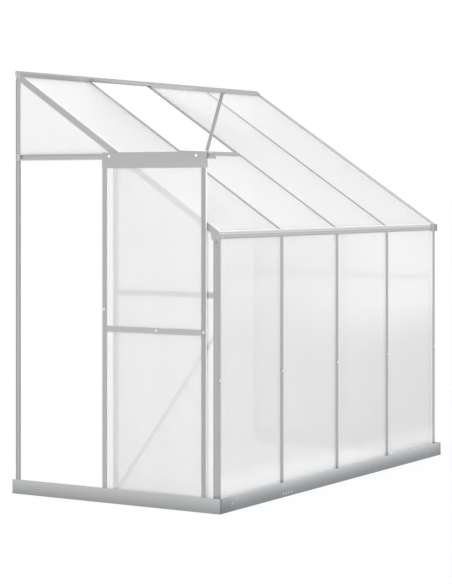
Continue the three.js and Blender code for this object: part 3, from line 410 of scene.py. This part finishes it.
def galvanised(name, level, tint, heights, corner=None):
    """heights: bands of painted shade from the ground up; corner: bands of painted shade at the corner.
    """
    finish = Finish(name)
    flakes = finish.node("TexVoronoi", {"feature": "F1"}, {
        "Vector": finish.place(), "Scale": FLAKES_PER_METRE, "Randomness": 1.0,
    }, output=1)
    flake = finish.node("SeparateColor", sockets={"Color": flakes})
    clouds = finish.noise(finish.place(), DULL_CLOUDS_PER_METRE, 4.0)
    tone = (flake - 0.5) * 0.12 + (clouds - 0.5) * 0.25 + 0.5
    zinc = finish.blend(tone, grey(level * 0.93, tint), grey(level * 1.07, tint))
    # Painted shade: darker towards the bottom
    shaded_zinc = finish.times(zinc, finish.bands(UP, heights))
    # Painted shade at the corner: the fold's dark line on the gable, a darker band on the front
    if corner:
        shaded_zinc = finish.times(shaded_zinc, finish.bands(*corner))
    # Painted light on the inner faces
    inside = behind_base(finish).within(*ZINC_SKIN)
    finish.surface(
        Base_Color=finish.blend(inside, shaded_zinc, grey(INSIDE_ZINC_LIGHT)),
        Metallic=1 - inside * 0.85,
        Roughness=(flake - 0.5) * 0.08 + (clouds - 0.5) * 0.15 + 0.42,
    )
    finish.bump(flake, 0.0002, 0.15)
    return finish.material


print("zinc flakes are about", round(1000 / FLAKES_PER_METRE), "mm wide")

# %% Zinc of each side
# Each side's grey and its bands from the ground up are painted light and shade, for how light falls on
# that side
GABLE_HEIGHT_SHADE = [(0.0, 0.65), (0.0375, 0.88), (0.075, 1.08)]
FRONT_HEIGHT_SHADE = [
    (0.0, 0.44), (0.0075, 0.47), (0.0225, 0.52), (0.0375, 0.61),
    (0.0525, 0.74), (0.064, 0.85), (0.075, 1.0),
]
# Painted shade: a thin dark line along the fold at the corner
FOLD_SHADE = (ACROSS, [(-0.6400, 0.56), (-0.6374, 0.56), (-0.6368, 1.0)])
# Painted shade: the front is darker beside the corner
SHADE_AT_CORNER = (ALONG, [(-1.260, 0.78), (-1.190, 0.84), (-1.100, 1.0)])
zinc_gable_near = galvanised("zinc_gable", 0.50, -0.015, GABLE_HEIGHT_SHADE, FOLD_SHADE)
zinc_gable_far = galvanised("zinc_gable_far", 0.56, -0.03, GABLE_HEIGHT_SHADE)
zinc_front = galvanised("zinc_front", 0.60, -0.045, FRONT_HEIGHT_SHADE, SHADE_AT_CORNER)
print("zinc finishes:", zinc_gable_near.name, zinc_gable_far.name, zinc_front.name)

# %% [markdown]
# ## Twin-wall sheet
# The sheet is two thin skins with ribs between them every few millimetres. It lets light through
# but scatters it, so a bar just behind it is a soft stripe and the far side all but vanishes.
# Rough transmission does that by itself, and a little plain see-through keeps the stripes. The
# ribs are fine bands of tone across the sheet, and each sheet has slow, broad streaks that run
# with its ribs, painted in as the reflection and bending of light in them. Its long edges, which
# stand in the grooves of the bars, are painted dense and white, as light over the shade of the
# bars behind them.

# %% Twin-wall finish
RIB_PITCH = 0.006
# Painted reflection: broad streaks across each sheet, along its ribs
STREAKS = [
    (0.00, 0.75), (0.08, 1.0), (0.34, 0.95), (0.40, 0.35), (0.46, 0.4),
    (0.51, 0.95), (0.57, 0.8), (0.66, 0.35), (0.90, 0.4), (1.00, 0.75),
]


def twin_wall(name, across, start, width, light=1.0, dark=0.98, through=0.35, clear=0.30,
              lit_edge=0.0, shade=None):
    """across: the direction in which ribs follow one another; start and width: one sheet;
    light and dark: the two ends of its greys; through: scattered light; clear: plain
    see-through; milky: the share of the width, at each edge, that is painted dense and white, as light
    over the bars' shade;
    shade: a function that gives the finish a grey to be darkened by."""
    finish = Finish(name, Metallic=0.0, IOR=1.25, Transmission_Weight=through)
    position = finish.along(across)
    share = (position - start) / width
    share = share - share.floor()
    stops = [(place, grey(level)) for place, level in STREAKS]
    streak = finish.node("ValToRGB", {"stops": stops}, {"Fac": share})
    ribs = (position * (2 * math.pi / RIB_PITCH)).cosine() * 0.5 + 0.5
    tone = finish.node("SeparateColor", sockets={"Color": streak}) * 0.8 + ribs ** 6 * 0.2
    colour = finish.blend(tone, grey(dark, 0.002), grey(light, 0.002))
    alpha = 1.0 - clear
    if lit_edge:
        # Painted light: the edges dense and white over the shade of the bars
        edge = (share - 0.5).absolute().within(0.5 - lit_edge, 0.5 - 0.7 * lit_edge)
        alpha = edge * clear + (1.0 - clear)
        colour = finish.blend(edge, colour, grey(1.0))
    if shade:
        colour = finish.times(colour, shade(finish))
    finish.surface(Base_Color=colour, Roughness=ribs ** 6 * 0.1 + 0.22, Alpha=alpha)
    finish.bump(ribs, 0.0003, 0.2)
    return finish.material


print("ribs per metre:", round(1 / RIB_PITCH))

# %% [markdown]
# ## Shade in the sheets
# Inside the greenhouse the light is dimmer in some places than in others, and the sheets show it
# as slow shades. The front is pale at its foot, darkest about knee high, and pale again towards
# the eave, more so at the far end. The roof is a shade dimmer low down and in its first bay, and
# the door is dimmer in a strip at its wall side and in the upper corner towards the eave. A few
# ramps along straight directions are enough, and they stay with the sheets under any lamp.

# %% Shades
NEAR_SHADE = (UP, [
    (0.00, 1.0), (0.12, 1.0), (0.20, 0.88), (0.30, 0.85), (0.80, 0.845), (0.90, 0.85),
    (1.00, 0.875), (1.10, 0.90), (1.18, 0.885), (1.30, 0.91),
])
FAR_SHADE = (UP, [
    (0.00, 1.0), (0.12, 1.0), (0.20, 0.86), (0.30, 0.845), (0.67, 0.86), (0.74, 0.89),
    (0.81, 0.93), (0.88, 0.98), (0.95, 1.02), (1.30, 1.03),
])
ROOF_SHADE = (UP, [(1.37, 0.985), (1.90, 0.985), (2.10, 1.0), (2.25, 1.0)])
FIRST_BAY_SHADE = (ALONG, [(-1.234, 0.975), (-0.64, 0.975), (-0.60, 1.0), (1.234, 1.0)])
DOOR_WALL_SHADE = (ACROSS, [(-0.55, 1.0), (0.000, 1.0), (0.020, 0.92), (0.070, 0.92)])
TO_DOOR_CORNER = (0, -0.468, 0.884)
DOOR_CORNER_SHADE = (TO_DOOR_CORNER, [(1.540, 1.0), (1.565, 0.98), (1.60, 0.95), (1.66, 0.91)])
NEAR_TO_FAR = (-1.1, 0.9)


def front_shade(finish):
    far = finish.along(ALONG).within(*NEAR_TO_FAR)
    return finish.blend(far, finish.bands(*NEAR_SHADE), finish.bands(*FAR_SHADE))


def roof_shade(finish):
    return finish.times(finish.bands(*ROOF_SHADE), finish.bands(*FIRST_BAY_SHADE))


def door_shade(finish):
    return finish.times(finish.bands(*DOOR_WALL_SHADE), finish.bands(*DOOR_CORNER_SHADE))


print("shades for the front, the roof and the door")

# %% One finish for each kind of sheet
BAY, GABLE_SHEET, DOOR_WIDTH = 0.603, 0.615, 0.619
BAYS_START, GABLE_START, DOOR_START = -2 * BAY, -0.611, -0.5501
# Each kind of sheet has its light and dark greys painted for the light where it stands: the sheet over
# the door darkest, as shade, then the gable, the door and the roof, and the front palest
sheets = {
    "front": twin_wall(
        "sheet_front", ALONG, BAYS_START, BAY, through=0.24, clear=0.33, lit_edge=0.05, shade=front_shade),
    "roof": twin_wall(
        "sheet_roof", ALONG, BAYS_START, BAY, light=0.96, dark=0.94, through=0.24, clear=0.22,
        lit_edge=0.065, shade=roof_shade),
    "over_door": twin_wall("sheet_over_door", ACROSS, 0.0, GABLE_SHEET, light=0.85, dark=0.83),
    "gable": twin_wall("sheet_gable", ACROSS, GABLE_START, GABLE_SHEET, light=0.93, dark=0.91),
    "door": twin_wall(
        "sheet_door", ACROSS, DOOR_START, DOOR_WIDTH, light=0.955, dark=0.93, through=0.45,
        shade=door_shade),
}
print("sheet finishes:", sorted(sheets))

# %% [markdown]
# ## Small plastics and fasteners
# The door's rollers are pale nylon, and the plugs that close hollow bars are grey. Moulded
# plastic is slightly grainy and not quite matt. Screws and bolts are plated bright, so that they
# catch the light as small points.

# %% Plastic finishes
LIFTED_SKIN = (0.0008, 0.0016)
GRAINS_PER_METRE = 900.0


def moulded(name, colour, roughness, lifted_level=None):
    """lifted_level: the grey of what lies behind the door's face, painted pale as light that lifts its
    shade.
    """
    finish = Finish(name, Metallic=0.0)
    grain = finish.noise(finish.place(), GRAINS_PER_METRE, 2.0)
    dull = [0.93 * part for part in colour]
    tone = finish.blend(grain, (*dull, 1.0), (*colour, 1.0))
    # Painted light: what lies behind the door's face is pale, to lift its shade
    if lifted_level:
        lifted = behind_door(finish).within(*LIFTED_SKIN)
        tone = finish.blend(lifted, tone, grey(lifted_level))
    finish.surface(Base_Color=tone, Roughness=(grain - 0.5) * 0.15 + roughness)
    finish.bump(grain, 0.0001, 0.3)
    return finish.material


nylon = moulded("nylon", (0.72, 0.72, 0.69), 0.45)
grey_nylon = moulded("grey_nylon", (0.42, 0.42, 0.42), 0.5)
bumper_nylon = moulded("bumper_nylon", (0.28, 0.28, 0.28), 0.5, lifted_level=0.85)
dark_nylon = moulded("dark_nylon", (0.27, 0.27, 0.275), 0.5)
white_tape = moulded("white_tape", (0.93, 0.93, 0.92), 0.6)
print("plastics ready")

# %% Bright plating
SPECKS_PER_METRE = 500.0


def plated(name, level, roughness):
    finish = Finish(name, Metallic=1.0)
    mottle = finish.noise(finish.place(), SPECKS_PER_METRE, 3.0)
    finish.surface(
        Base_Color=finish.blend(mottle, grey(level * 0.9, -0.01), grey(level, 0.01)),
        Roughness=(mottle - 0.5) * 0.2 + roughness,
    )
    finish.bump(mottle, 0.0001, 0.2)
    return finish.material


bright_zinc = plated("bright_zinc", 0.97, 0.30)
grey_zinc = plated("grey_zinc", 0.62, 0.45)
dark_zinc = plated("dark_zinc", 0.36, 0.40)
print("plating ready")

# %% [markdown]
# ## Dressing the frame
# Each node of the frame takes the finish that suits how it was made and which way it runs. The
# start of a node's name says which kind of piece it is, so a short list of finishes and name
# starts dresses them all. The first line that fits a name counts.

# %% Give every node its finish
DRESSING = [
    (zinc_gable_near, "base_gable_near"),
    (zinc_gable_far, "base_gable_far"),
    (zinc_front, "base_front"),
    (sheets["front"], "front_panel"),
    (sheets["roof"], ("roof_panel", "vent_panel")),
    (sheets["over_door"], "gable_panel_over_door"),
    (sheets["gable"], "gable_panel"),
    (sheets["door"], "door_pane"),
    (nylon, "door_roller"),
    (aluminium["roof_bar"], "roof_bar"),
    (aluminium["vent_head"], "vent_head_rail"),
    (aluminium["vent_side"], "vent_side_rail"),
    (aluminium["far_rafter"], "end_rafter_far"),
    (aluminium["slope"], "end_rafter_near"),
    (aluminium["sill"], "sill_"),
    (aluminium["length"], ("ridge_bar", "vent_sill", "vent_foot_rail")),
    (aluminium["wall_post"], "wall_post_near"),
    (aluminium["track"], "door_track"),
    (aluminium["stop"], "track_stop"),
    (aluminium["gutter"], "eave_gutter"),
    (aluminium["door_stile"], "door_stile"),
    (aluminium["door_middle"], "door_mid_rail"),
    (aluminium["door_rail"], ("door_top_rail", "door_bottom_rail")),
    (aluminium["upright"], ("front_bar", "corner_post", "door_post", "gable_bar", "wall_post_far")),
    (aluminium["girt"], "girt"),
    (aluminium["depth"], ("brace", "gutter_cap", "vent_stay")),
]


def finish_for(name):
    return next(material for material, start in DRESSING if name.startswith(start))


for name, node in nodes.items():
    node.data.materials.clear()
    node.data.materials.append(finish_for(name))
print("dressed", len(nodes), "nodes")

# %% [markdown]
# ## Making small pieces
# Everything added from here on is small: heads, tapes, strips and plugs. Each is a closed skin
# drawn through a few loops of points, one after the other, and closed with a face at each end.
# One helper does that for all of them, and another puts the piece in place and says what it
# rides on.

# %% A closed skin through loops of points
def closed_mesh(name, loops, material):
    shape = bmesh.new()
    rows = [[shape.verts.new(point) for point in loop] for loop in loops]
    for low, high in zip(rows, rows[1:]):
        for k in range(len(low)):
            after = (k + 1) % len(low)
            shape.faces.new((low[k], low[after], high[after], high[k]))
    for end_row in (rows[0], rows[-1]):
        shape.faces.new(end_row)
    bmesh.ops.recalc_face_normals(shape, faces=shape.faces)
    mesh = bpy.data.meshes.new(name)
    shape.to_mesh(mesh)
    shape.free()
    mesh.materials.append(material)
    return mesh


def add_piece(name, mesh, body="frame", where=None):
    piece = bpy.data.objects.new(name, mesh)
    bpy.context.scene.collection.objects.link(piece)
    if where:
        piece.matrix_world = where
    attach(piece, body)
    return piece


print("small piece helpers ready")

# %% [markdown]
# ## Screws and bolts
# A kit like this goes together with small plated screws and bolts. A head is a stack of rings
# from its back to the middle of its top: the rings are round where it was turned and six-sided
# where a key fits.

# %% Heads made ring by ring
RING_POINTS = 24


def ring(radius, height, sides=0):
    """Points of a circle, or of a polygon with so many sides. Radius and height are in mm."""
    points = []
    for step in range(RING_POINTS):
        angle = 2 * math.pi * step / RING_POINTS
        reach = radius
        if sides:
            part = 2 * math.pi / sides
            reach = radius * math.cos(part / 2) / math.cos(angle % part - part / 2)
        points.append(Vector((reach * math.cos(angle), reach * math.sin(angle), height)) / 1000)
    return points


PAN = [
    (6.0, 0.0), (6.0, 0.9), (4.4, 1.0), (4.4, 1.6), (4.1, 2.5), (3.3, 3.2), (2.2, 3.5),
    (1.7, 3.5, 6), (1.7, 2.1, 6),
]
MUSHROOM = [(5.6, 0.0), (5.4, 0.5), (4.8, 1.0), (3.6, 1.4), (2.2, 1.6), (1.0, 1.65)]
RIVET = [(3.4, 0.0), (3.3, 0.4), (2.8, 0.9), (1.9, 1.2), (0.9, 1.3)]
ROLLER_CAP = [
    (7.0, 0.0), (7.0, 0.9), (6.2, 1.0), (6.2, 3.2), (5.8, 3.9), (4.8, 4.4), (3.4, 4.6),
    (2.6, 4.6, 6), (2.6, 3.3, 6),
]
NUT = [
    (6.2, 0.0), (6.2, 0.8), (5.5, 0.8, 6), (5.5, 4.4, 6), (4.6, 4.9), (2.9, 4.9),
    (2.9, 6.4), (2.3, 6.9),
]
HEADS = {
    "pan_head": (PAN, bright_zinc), "post_head": (PAN, dark_zinc),
    "mushroom_head": (MUSHROOM, grey_zinc), "rivet_head": (RIVET, bright_zinc),
    "roller_cap": (ROLLER_CAP, bright_zinc), "nut": (NUT, grey_zinc),
}
heads = {
    name: closed_mesh(name, [ring(*one) for one in rings], plating)
    for name, (rings, plating) in HEADS.items()
}
print("heads:", sorted(heads))

# %% Put the heads in their places
OUT_OF_GABLE, OUT_OF_FRONT, INTO_BASE = Vector((-1, 0, 0)), Vector((0, -1, 0)), Vector((0, 1, 0))
OUT_OF_LIP = Vector((0, -13, 8)).normalized()


def fix(name, head, place, outwards, body="frame"):
    """One fastener with its back at a place, pointing outwards, riding on a body."""
    turn = outwards.to_track_quat("Z", "Y").to_matrix().to_4x4()
    return add_piece(name, heads[head], body, Matrix.Translation(place) @ turn)


STEEL, TONGUE = 0.0015, 0.0018
fasteners = []
for number, x in enumerate((-0.633, -0.606, -0.579, -0.549), 1):
    for row, z in (("high", 0.057), ("low", 0.018)):
        behind_tongue = BASE_Y + STEEL + TONGUE
        fasteners += [
            fix(f"splice_bolt_{number}_{row}", "mushroom_head", (x, BASE_Y, z), OUT_OF_FRONT),
            fix(f"splice_nut_{number}_{row}", "nut", (x, behind_tongue, z), INTO_BASE),
        ]
for name, x, z in (("near", -1.140, 0.037), ("far", 1.090, 0.038)):
    fasteners += [
        fix(f"base_bolt_{name}", "mushroom_head", (x, BASE_Y, z), OUT_OF_FRONT),
        fix(f"base_nut_{name}", "nut", (x, BASE_Y + STEEL, z), INTO_BASE),
    ]
SCREW_HEIGHT, AXLE_HEIGHT = 0.650, 1.7576
for number, x in enumerate((-1.2155, -0.5955, 0.0075, 0.6105, 1.2265), 1):
    place = (x, FRONT_Y, SCREW_HEIGHT)
    fasteners.append(fix(f"front_screw_{number}", "pan_head", place, OUT_OF_FRONT))
for name, y in (("wall", 0.0269), ("eave", -0.4961)):
    place = (DOOR_X, y, AXLE_HEIGHT)
    fasteners.append(fix(f"roller_cap_{name}", "roller_cap", place, OUT_OF_GABLE, "door"))
for name, y, z in (("middle", -0.2587, 0.885), ("wall", 0.0590, 0.982), ("eave", -0.5390, 0.886)):
    fasteners.append(fix(f"door_screw_{name}", "pan_head", (DOOR_X, y, z), OUT_OF_GABLE, "door"))
POST_BOLT, RIVET_X, LIP, BEAD = (-0.5985, 1.332), -1.194, (-0.61525, 1.371), (-0.6161, 1.355)
fasteners += [
    fix("post_bolt", "post_head", (-END_X, *POST_BOLT), OUT_OF_GABLE),
    fix("lip_rivet", "rivet_head", (RIVET_X, *LIP), OUT_OF_LIP),
    fix("bead_rivet", "rivet_head", (RIVET_X, *BEAD), OUT_OF_FRONT),
]
print("fasteners:", len(fasteners))

# %% [markdown]
# ## Tape on the sheet ends
# The flutes of a twin-wall sheet are closed with tape at the low end, so that dirt and water stay
# out. It folds over the end as a shallow U, which gives the roof its clean pale edge above the
# gutter.

# %% Bars drawn along X
def along_x(name, outline, x0, x1, material):
    """A bar from an outline of (y, z) points."""
    return closed_mesh(name, [[(x, y, z) for y, z in outline] for x in (x0, x1)], material)


def on_slope(along, depth):
    """The (y, z) of a point given by its way up the roof and its depth."""
    return tuple(UP_ROOF[axis] * along + INTO_ROOF[axis] * depth for axis in (1, 2))


print("point 1 m up the roof:", [round(part, 3) for part in on_slope(1.0, 0.0)])

# %% Tape over the eave end of each roof sheet
REACH, FILM = 0.012, 0.0002


def end_tape(number):
    sheet = nodes[f"roof_panel_{number}"]
    low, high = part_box(sheet.name)
    start = min(point.co.dot(Vector(UP_ROOF)) for point in sheet.data.vertices)
    depths = [point.co.dot(Vector(INTO_ROOF)) for point in sheet.data.vertices]
    top, bottom = min(depths), max(depths)
    inner = [(start + REACH, top), (start, top), (start, bottom), (start + REACH, bottom)]
    outer = [(start + REACH, bottom + FILM), (start - FILM, bottom + FILM),
             (start - FILM, top - FILM), (start + REACH, top - FILM)]
    outline = [on_slope(*point) for point in inner + outer]
    name = f"end_tape_{number}"
    return add_piece(name, along_x(name, outline, low[0], high[0], white_tape))


tapes = [end_tape(number) for number in range(1, 5)]
print("tapes:", len(tapes))

# %% [markdown]
# ## Strips and end plugs
# Where no vent hangs in it, the ridge's round socket is closed by a flat strip that reaches down
# to the sheets, and over each bar by a shorter one. The strips are put over the shade under the
# socket, and their grey is painted shade, darker at the near end. Hollow bars end in moulded plugs,
# so that rain and wasps stay out, and the gutter's far end has a deeper moulded end for the downpipe.

# %% Strips that close the ridge
STRIP_Y, STRIP_THICK, STRIP_TOP, BEVEL = 0.6090, 0.0018, 2.2010, 0.0006
STRIP_FRONT = STRIP_Y - STRIP_THICK
SHEET_TOP, CAP_TOP, RIM_TOP = 0.0021, 0.0, -0.0002
BAR_HALF, POST_SIDE, VENT_SIDE = 0.0138, 0.0246, 0.0004


def roof_height(y, depth):
    """Height of the line that lies so deep under the roof's outer face."""
    return EAVE_Z + (y - FRONT_Y) * math.tan(SLOPE) - depth / math.cos(SLOPE)


def ridge_strip(number, x0, x1, depth):
    """A strip between two places along the ridge, down to what lies so deep under it."""
    outline = [
        (STRIP_Y, roof_height(STRIP_Y, depth)), (STRIP_Y, STRIP_TOP),
        (STRIP_FRONT, STRIP_TOP - BEVEL), (STRIP_FRONT, roof_height(STRIP_FRONT, depth)),
    ]
    name = f"ridge_strip_{number}"
    return add_piece(name, along_x(name, outline, x0, x1, aluminium["ridge_strip"]))


# Strips put over the shade under the socket; their grey is painted shade, darker at the near end
STRIPS = [
    (-END_X, -END_X + POST_SIDE, RIM_TOP), (-END_X + POST_SIDE, -BAY - BAR_HALF, SHEET_TOP),
    (-BAY - BAR_HALF, -BAY + VENT_SIDE, CAP_TOP), (-VENT_SIDE, BAR_HALF, CAP_TOP),
    (BAR_HALF, BAY - BAR_HALF, SHEET_TOP), (BAY - BAR_HALF, BAY + BAR_HALF, CAP_TOP),
    (BAY + BAR_HALF, END_X - POST_SIDE, SHEET_TOP), (END_X - POST_SIDE, END_X, RIM_TOP),
]
strips = [ridge_strip(number, *strip) for number, strip in enumerate(STRIPS, 1)]
print("strips:", len(strips))

# %% Plugs for the ridge ends
THIN = 0.0012
PLUG_RISE, PLUG_CHAMFER, PLUG_CROWN, PLUG_SHOULDER, PLUG_CHIN = 0.004, 0.002, 0.012, 0.016, 0.012
ridge_low, ridge_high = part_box("ridge_bar")


def ridge_plug(name, x0, x1):
    """It follows the bar's back and crown, and slopes down to the foot of the strips."""
    back, top, foot = ridge_high[1], ridge_high[2], roof_height(STRIP_FRONT, 0.0)
    outline = [
        (back, ridge_low[2] + PLUG_RISE), (back, top - PLUG_CHAMFER), (back - PLUG_CHAMFER, top),
        (back - PLUG_CROWN, top), (back - PLUG_SHOULDER, STRIP_TOP),
        (STRIP_FRONT, STRIP_TOP - BEVEL), (STRIP_FRONT, foot), (STRIP_FRONT, foot - PLUG_CHIN),
    ]
    return add_piece(name, along_x(name, outline, x0, x1, grey_nylon))


plugs = [
    ridge_plug("ridge_plug_near", ridge_low[0] - THIN, ridge_low[0]),
    ridge_plug("ridge_plug_far", ridge_high[0], ridge_high[0] + THIN),
]
print("ridge plugs:", len(plugs))

# %% Plugs for the door's top rail
rail_low, rail_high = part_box("door_top_rail")
BOX_DEEP, COVER_THICK, BOX_TOP, SOFT = 0.015, 0.0025, rail_low[2] + 0.038, 0.001
PLUG_LONG, BUMPER_END, BUMPER_RISE = 0.003, 0.0107, 0.002


def rail_plug(name, start, end, low, material):
    """A moulding at an end of the rail: the whole end, or only what lies above a height."""
    face, inner, cover, top = DOOR_X, DOOR_X + BOX_DEEP, DOOR_X + COVER_THICK, rail_high[2]
    if low < BOX_TOP:
        foot = [(face, low + SOFT), (face + SOFT, low), (inner, low), (inner, BOX_TOP), (cover, BOX_TOP)]
    else:
        foot = [(face, low), (cover, low)]
    outline = foot + [(cover, top), (face + SOFT, top), (face, top - SOFT)]
    loops = [[(x, y, z) for x, z in outline] for y in (start, end)]
    return add_piece(name, closed_mesh(name, loops, material), "door")


wall_end, eave_end, foot_z = rail_high[1], rail_low[1], rail_low[2]
bumper_start, bumper_end = eave_end - PLUG_LONG, eave_end - BUMPER_END
plugs += [
    rail_plug("rail_plug_wall", wall_end, wall_end + PLUG_LONG, foot_z, grey_nylon),
    rail_plug("rail_plug_eave", eave_end, eave_end - PLUG_LONG, foot_z, grey_nylon),
    rail_plug("door_bumper", bumper_start, bumper_end, BOX_TOP + BUMPER_RISE, bumper_nylon),
]
print("door plugs at:", round(eave_end, 4), round(wall_end, 4))

# %% Plugs for the vent's foot rail
JOINTS = {joint["name"]: joint for joint in frame["record"]["behaviour"]["joints"]}
HINGE = Vector(JOINTS["vent_hinge"]["pos_m"])
REST_TILT = math.radians(5.8)
LEAF_HALF, LEAF_THIN = 0.3005, 0.0006
FOOT_BACK, FOOT_FRONT, FOOT_LOW, FOOT_HIGH = 0.693, 0.715, -0.007, 0.005


def on_leaf(out, up):
    """The (y, z) of a point of the leaf, from its way out from the hinge and its height."""
    y = -out * math.cos(REST_TILT) - up * math.sin(REST_TILT)
    z = -out * math.sin(REST_TILT) + up * math.cos(REST_TILT)
    return (HINGE.y + y, HINGE.z + z)


def leaf_plug(name, x0, x1):
    outline = [
        on_leaf(FOOT_BACK, FOOT_LOW), on_leaf(FOOT_FRONT, FOOT_LOW),
        on_leaf(FOOT_FRONT, FOOT_HIGH), on_leaf(FOOT_BACK, FOOT_HIGH),
    ]
    return add_piece(name, along_x(name, outline, x0, x1, grey_nylon), "vent")


plugs += [
    leaf_plug("leaf_plug_near", HINGE.x - LEAF_HALF - LEAF_THIN, HINGE.x - LEAF_HALF),
    leaf_plug("leaf_plug_far", HINGE.x + LEAF_HALF, HINGE.x + LEAF_HALF + LEAF_THIN),
]
print("plugs:", len(plugs))

# %% [markdown]
# ## The gutter's far end
# The far end drains. A moulding is pushed over the gutter there: a thin sleeve grips the front
# wall, a lap goes round the whole section, and a hood carries it on past the end cap. The lap and
# the hood are the gutter's own rounded outline, spread outwards by so much, so they are drawn from
# one function.

# %% Sleeve on the gutter's front wall
cap_low, cap_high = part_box("gutter_cap_far")
FAR_END = cap_high[0]
SLEEVE_LONG, MOUTH_LONG, GRIP_DEEP = 0.057, 0.006, 0.006
SKIN, MOUTH_SKIN, WALL = 0.0006, 0.0001, 0.0012


def gutter_sleeve(name, x0, x1):
    """It grips the gutter's front wall from both sides, and thins out at its open end."""
    loops = []
    for x, skin in ((x0, MOUTH_SKIN), (x0 + MOUTH_LONG, SKIN), (x1, SKIN)):
        front, inner = cap_low[1] - skin, cap_low[1] + GRIP_DEEP
        top, bottom = cap_high[2], cap_low[2] - skin
        crown = [(inner, top), (front + WALL, top), (front, top - WALL)]
        loops.append([(x, y, z) for y, z in [(front, bottom), (inner, bottom)] + crown])
    return add_piece(name, closed_mesh(name, loops, grey_nylon))


sleeve = gutter_sleeve("gutter_sleeve_far", FAR_END - SLEEVE_LONG, FAR_END)
print("sleeve starts at:", round(FAR_END - SLEEVE_LONG, 4))

# %% Lap and hood round the gutter's end
HOOD_LONG, LAP_LONG, LAP_DEEP, CORNER_RADIUS = 0.0155, 0.018, 0.010, 0.009
ARC_STEPS = 6
LEAD_IN, TAPER = 0.001, 0.002


def hood_outline(x, spread, behind):
    """The gutter end's rounded outline, spread outwards, as far back as a plane behind."""
    front, bottom = cap_low[1] - spread, cap_low[2] - spread
    top = cap_high[2] + min(spread, SKIN)
    turns = [math.pi / 2 * step / ARC_STEPS for step in range(ARC_STEPS + 1)]
    arc = [
        (front + CORNER_RADIUS * (1 - math.sin(turn)), top - CORNER_RADIUS * (1 - math.cos(turn)))
        for turn in turns
    ]
    return [(x, y, z) for y, z in [(behind, bottom), (behind, top)] + arc + [(front, bottom)]]


def gutter_hood(name, x0, x1, behind):
    """It swells just past its start and draws in again at its end."""
    steps = ((x0, WALL), (x0 + LEAD_IN, 2 * WALL), (x1 - TAPER, 2 * WALL), (x1, WALL / 2))
    loops = [hood_outline(x, spread, behind) for x, spread in steps]
    return add_piece(name, closed_mesh(name, loops, dark_nylon))


lap = gutter_hood("gutter_lap_far", FAR_END - LAP_LONG, FAR_END, cap_low[1] + LAP_DEEP)
hood = gutter_hood("gutter_hood_far", FAR_END, FAR_END + HOOD_LONG, cap_high[1])
print("gutter end:", sleeve.name, lap.name, hood.name)

# %% [markdown]
# ## Floor and light
# The greenhouse stands on a plain pale floor in a bright, even studio. Both floor and world are
# white where they are looked at directly, in a reflection or through a sheet, and plain
# otherwise, so the white costs the greenhouse no light of its own. The floor keeps a faint
# shadow near the base, which fades out over a few metres.

# %% What is looked at directly
def looked_at(wiring):
    """1 on what the camera sees straight, in a reflection or through a sheet."""
    camera_ray, glossy, through = (
        wiring.node("LightPath", output=f"Is {kind} Ray") for kind in ("Camera", "Glossy", "Transmission")
    )
    return (camera_ray + glossy + through).least(1.0)


def show_mixed(wiring, share, first, second, output_node):
    """Sends out the first shader where the share is 0, the second where it is 1."""
    mixed = wiring.node("MixShader", sockets={0: share, 1: first, 2: second})
    wiring.fill(wiring.tree.nodes[output_node], {"Surface": mixed})


print("light helpers ready")

# %% Floor
FLOOR_HALF, FLOOR_GREY = 60.0, 0.9
SHADOW_FADES, SHADOW_SHARE = (2.0, 5.0), 0.06


def studio_floor():
    mesh = bpy.data.meshes.new("studio_floor")
    corners = [(x * FLOOR_HALF, y * FLOOR_HALF, 0) for x, y in ((-1, -1), (1, -1), (1, 1), (-1, 1))]
    mesh.from_pydata(corners, [], [(0, 1, 2, 3)])
    floor = bpy.data.objects.new("studio_floor", mesh)
    bpy.context.scene.collection.objects.link(floor)
    finish = Finish("studio_floor", Base_Color=grey(FLOOR_GREY), Roughness=0.9)
    matt = Level(finish, finish.shader.outputs[0])
    white = finish.node("Emission", sockets={"Color": grey(1.0)})
    away = finish.node("VectorMath", {"operation": "LENGTH"}, {0: finish.place()}, output=1)
    share = away.within(*SHADOW_FADES) * SHADOW_SHARE + (1.0 - SHADOW_SHARE)
    show_mixed(finish, looked_at(finish) * share, matt, white, "Material Output")
    mesh.materials.append(finish.material)
    return floor


floor = studio_floor()
print("floor:", floor.name)

# %% World and lamps
KEY_PLACE, KEY_AIM, KEY_SIZE, KEY_WATTS = (-6.0, -1.0, 5.0), (0, 0, 1.0), 4.0, 120.0
FILL_PLACE, FILL_AIM, FILL_SIZE, FILL_WATTS = (5.5, -6.0, 3.5), (0.9, -0.6, 1.2), 3.0, 31.0


def studio_world(strength):
    world = bpy.data.worlds.new("studio_world")
    world.use_nodes = True
    bpy.context.scene.world = world
    wiring = Wiring(world.node_tree)
    light = wiring.tree.nodes["Background"]
    wiring.fill(light, {"Color": grey(1.0, -0.01), "Strength": strength})
    sky = Level(wiring, light.outputs[0])
    white = wiring.node("Background", sockets={"Color": grey(1.0)})
    show_mixed(wiring, looked_at(wiring), sky, white, "World Output")


def soft_lamp(name, place, target, size, power):
    lamp = bpy.data.lights.new(name, "AREA")
    lamp.shape = "SQUARE"
    lamp.size = size
    lamp.energy = power
    holder = bpy.data.objects.new(name, lamp)
    bpy.context.scene.collection.objects.link(holder)
    holder.location = place
    holder.rotation_euler = (Vector(target) - Vector(place)).to_track_quat("-Z", "Y").to_euler()
    return holder


studio_world(1.0)
key_lamp = soft_lamp("key_lamp", KEY_PLACE, KEY_AIM, KEY_SIZE, KEY_WATTS)
fill_lamp = soft_lamp("fill_lamp", FILL_PLACE, FILL_AIM, FILL_SIZE, FILL_WATTS)
print("lamps:", key_lamp.name, fill_lamp.name)

# %% Plain colour, as written
bpy.context.scene.view_settings.view_transform = "Standard"
print("colours are shown by:", bpy.context.scene.view_settings.view_transform)
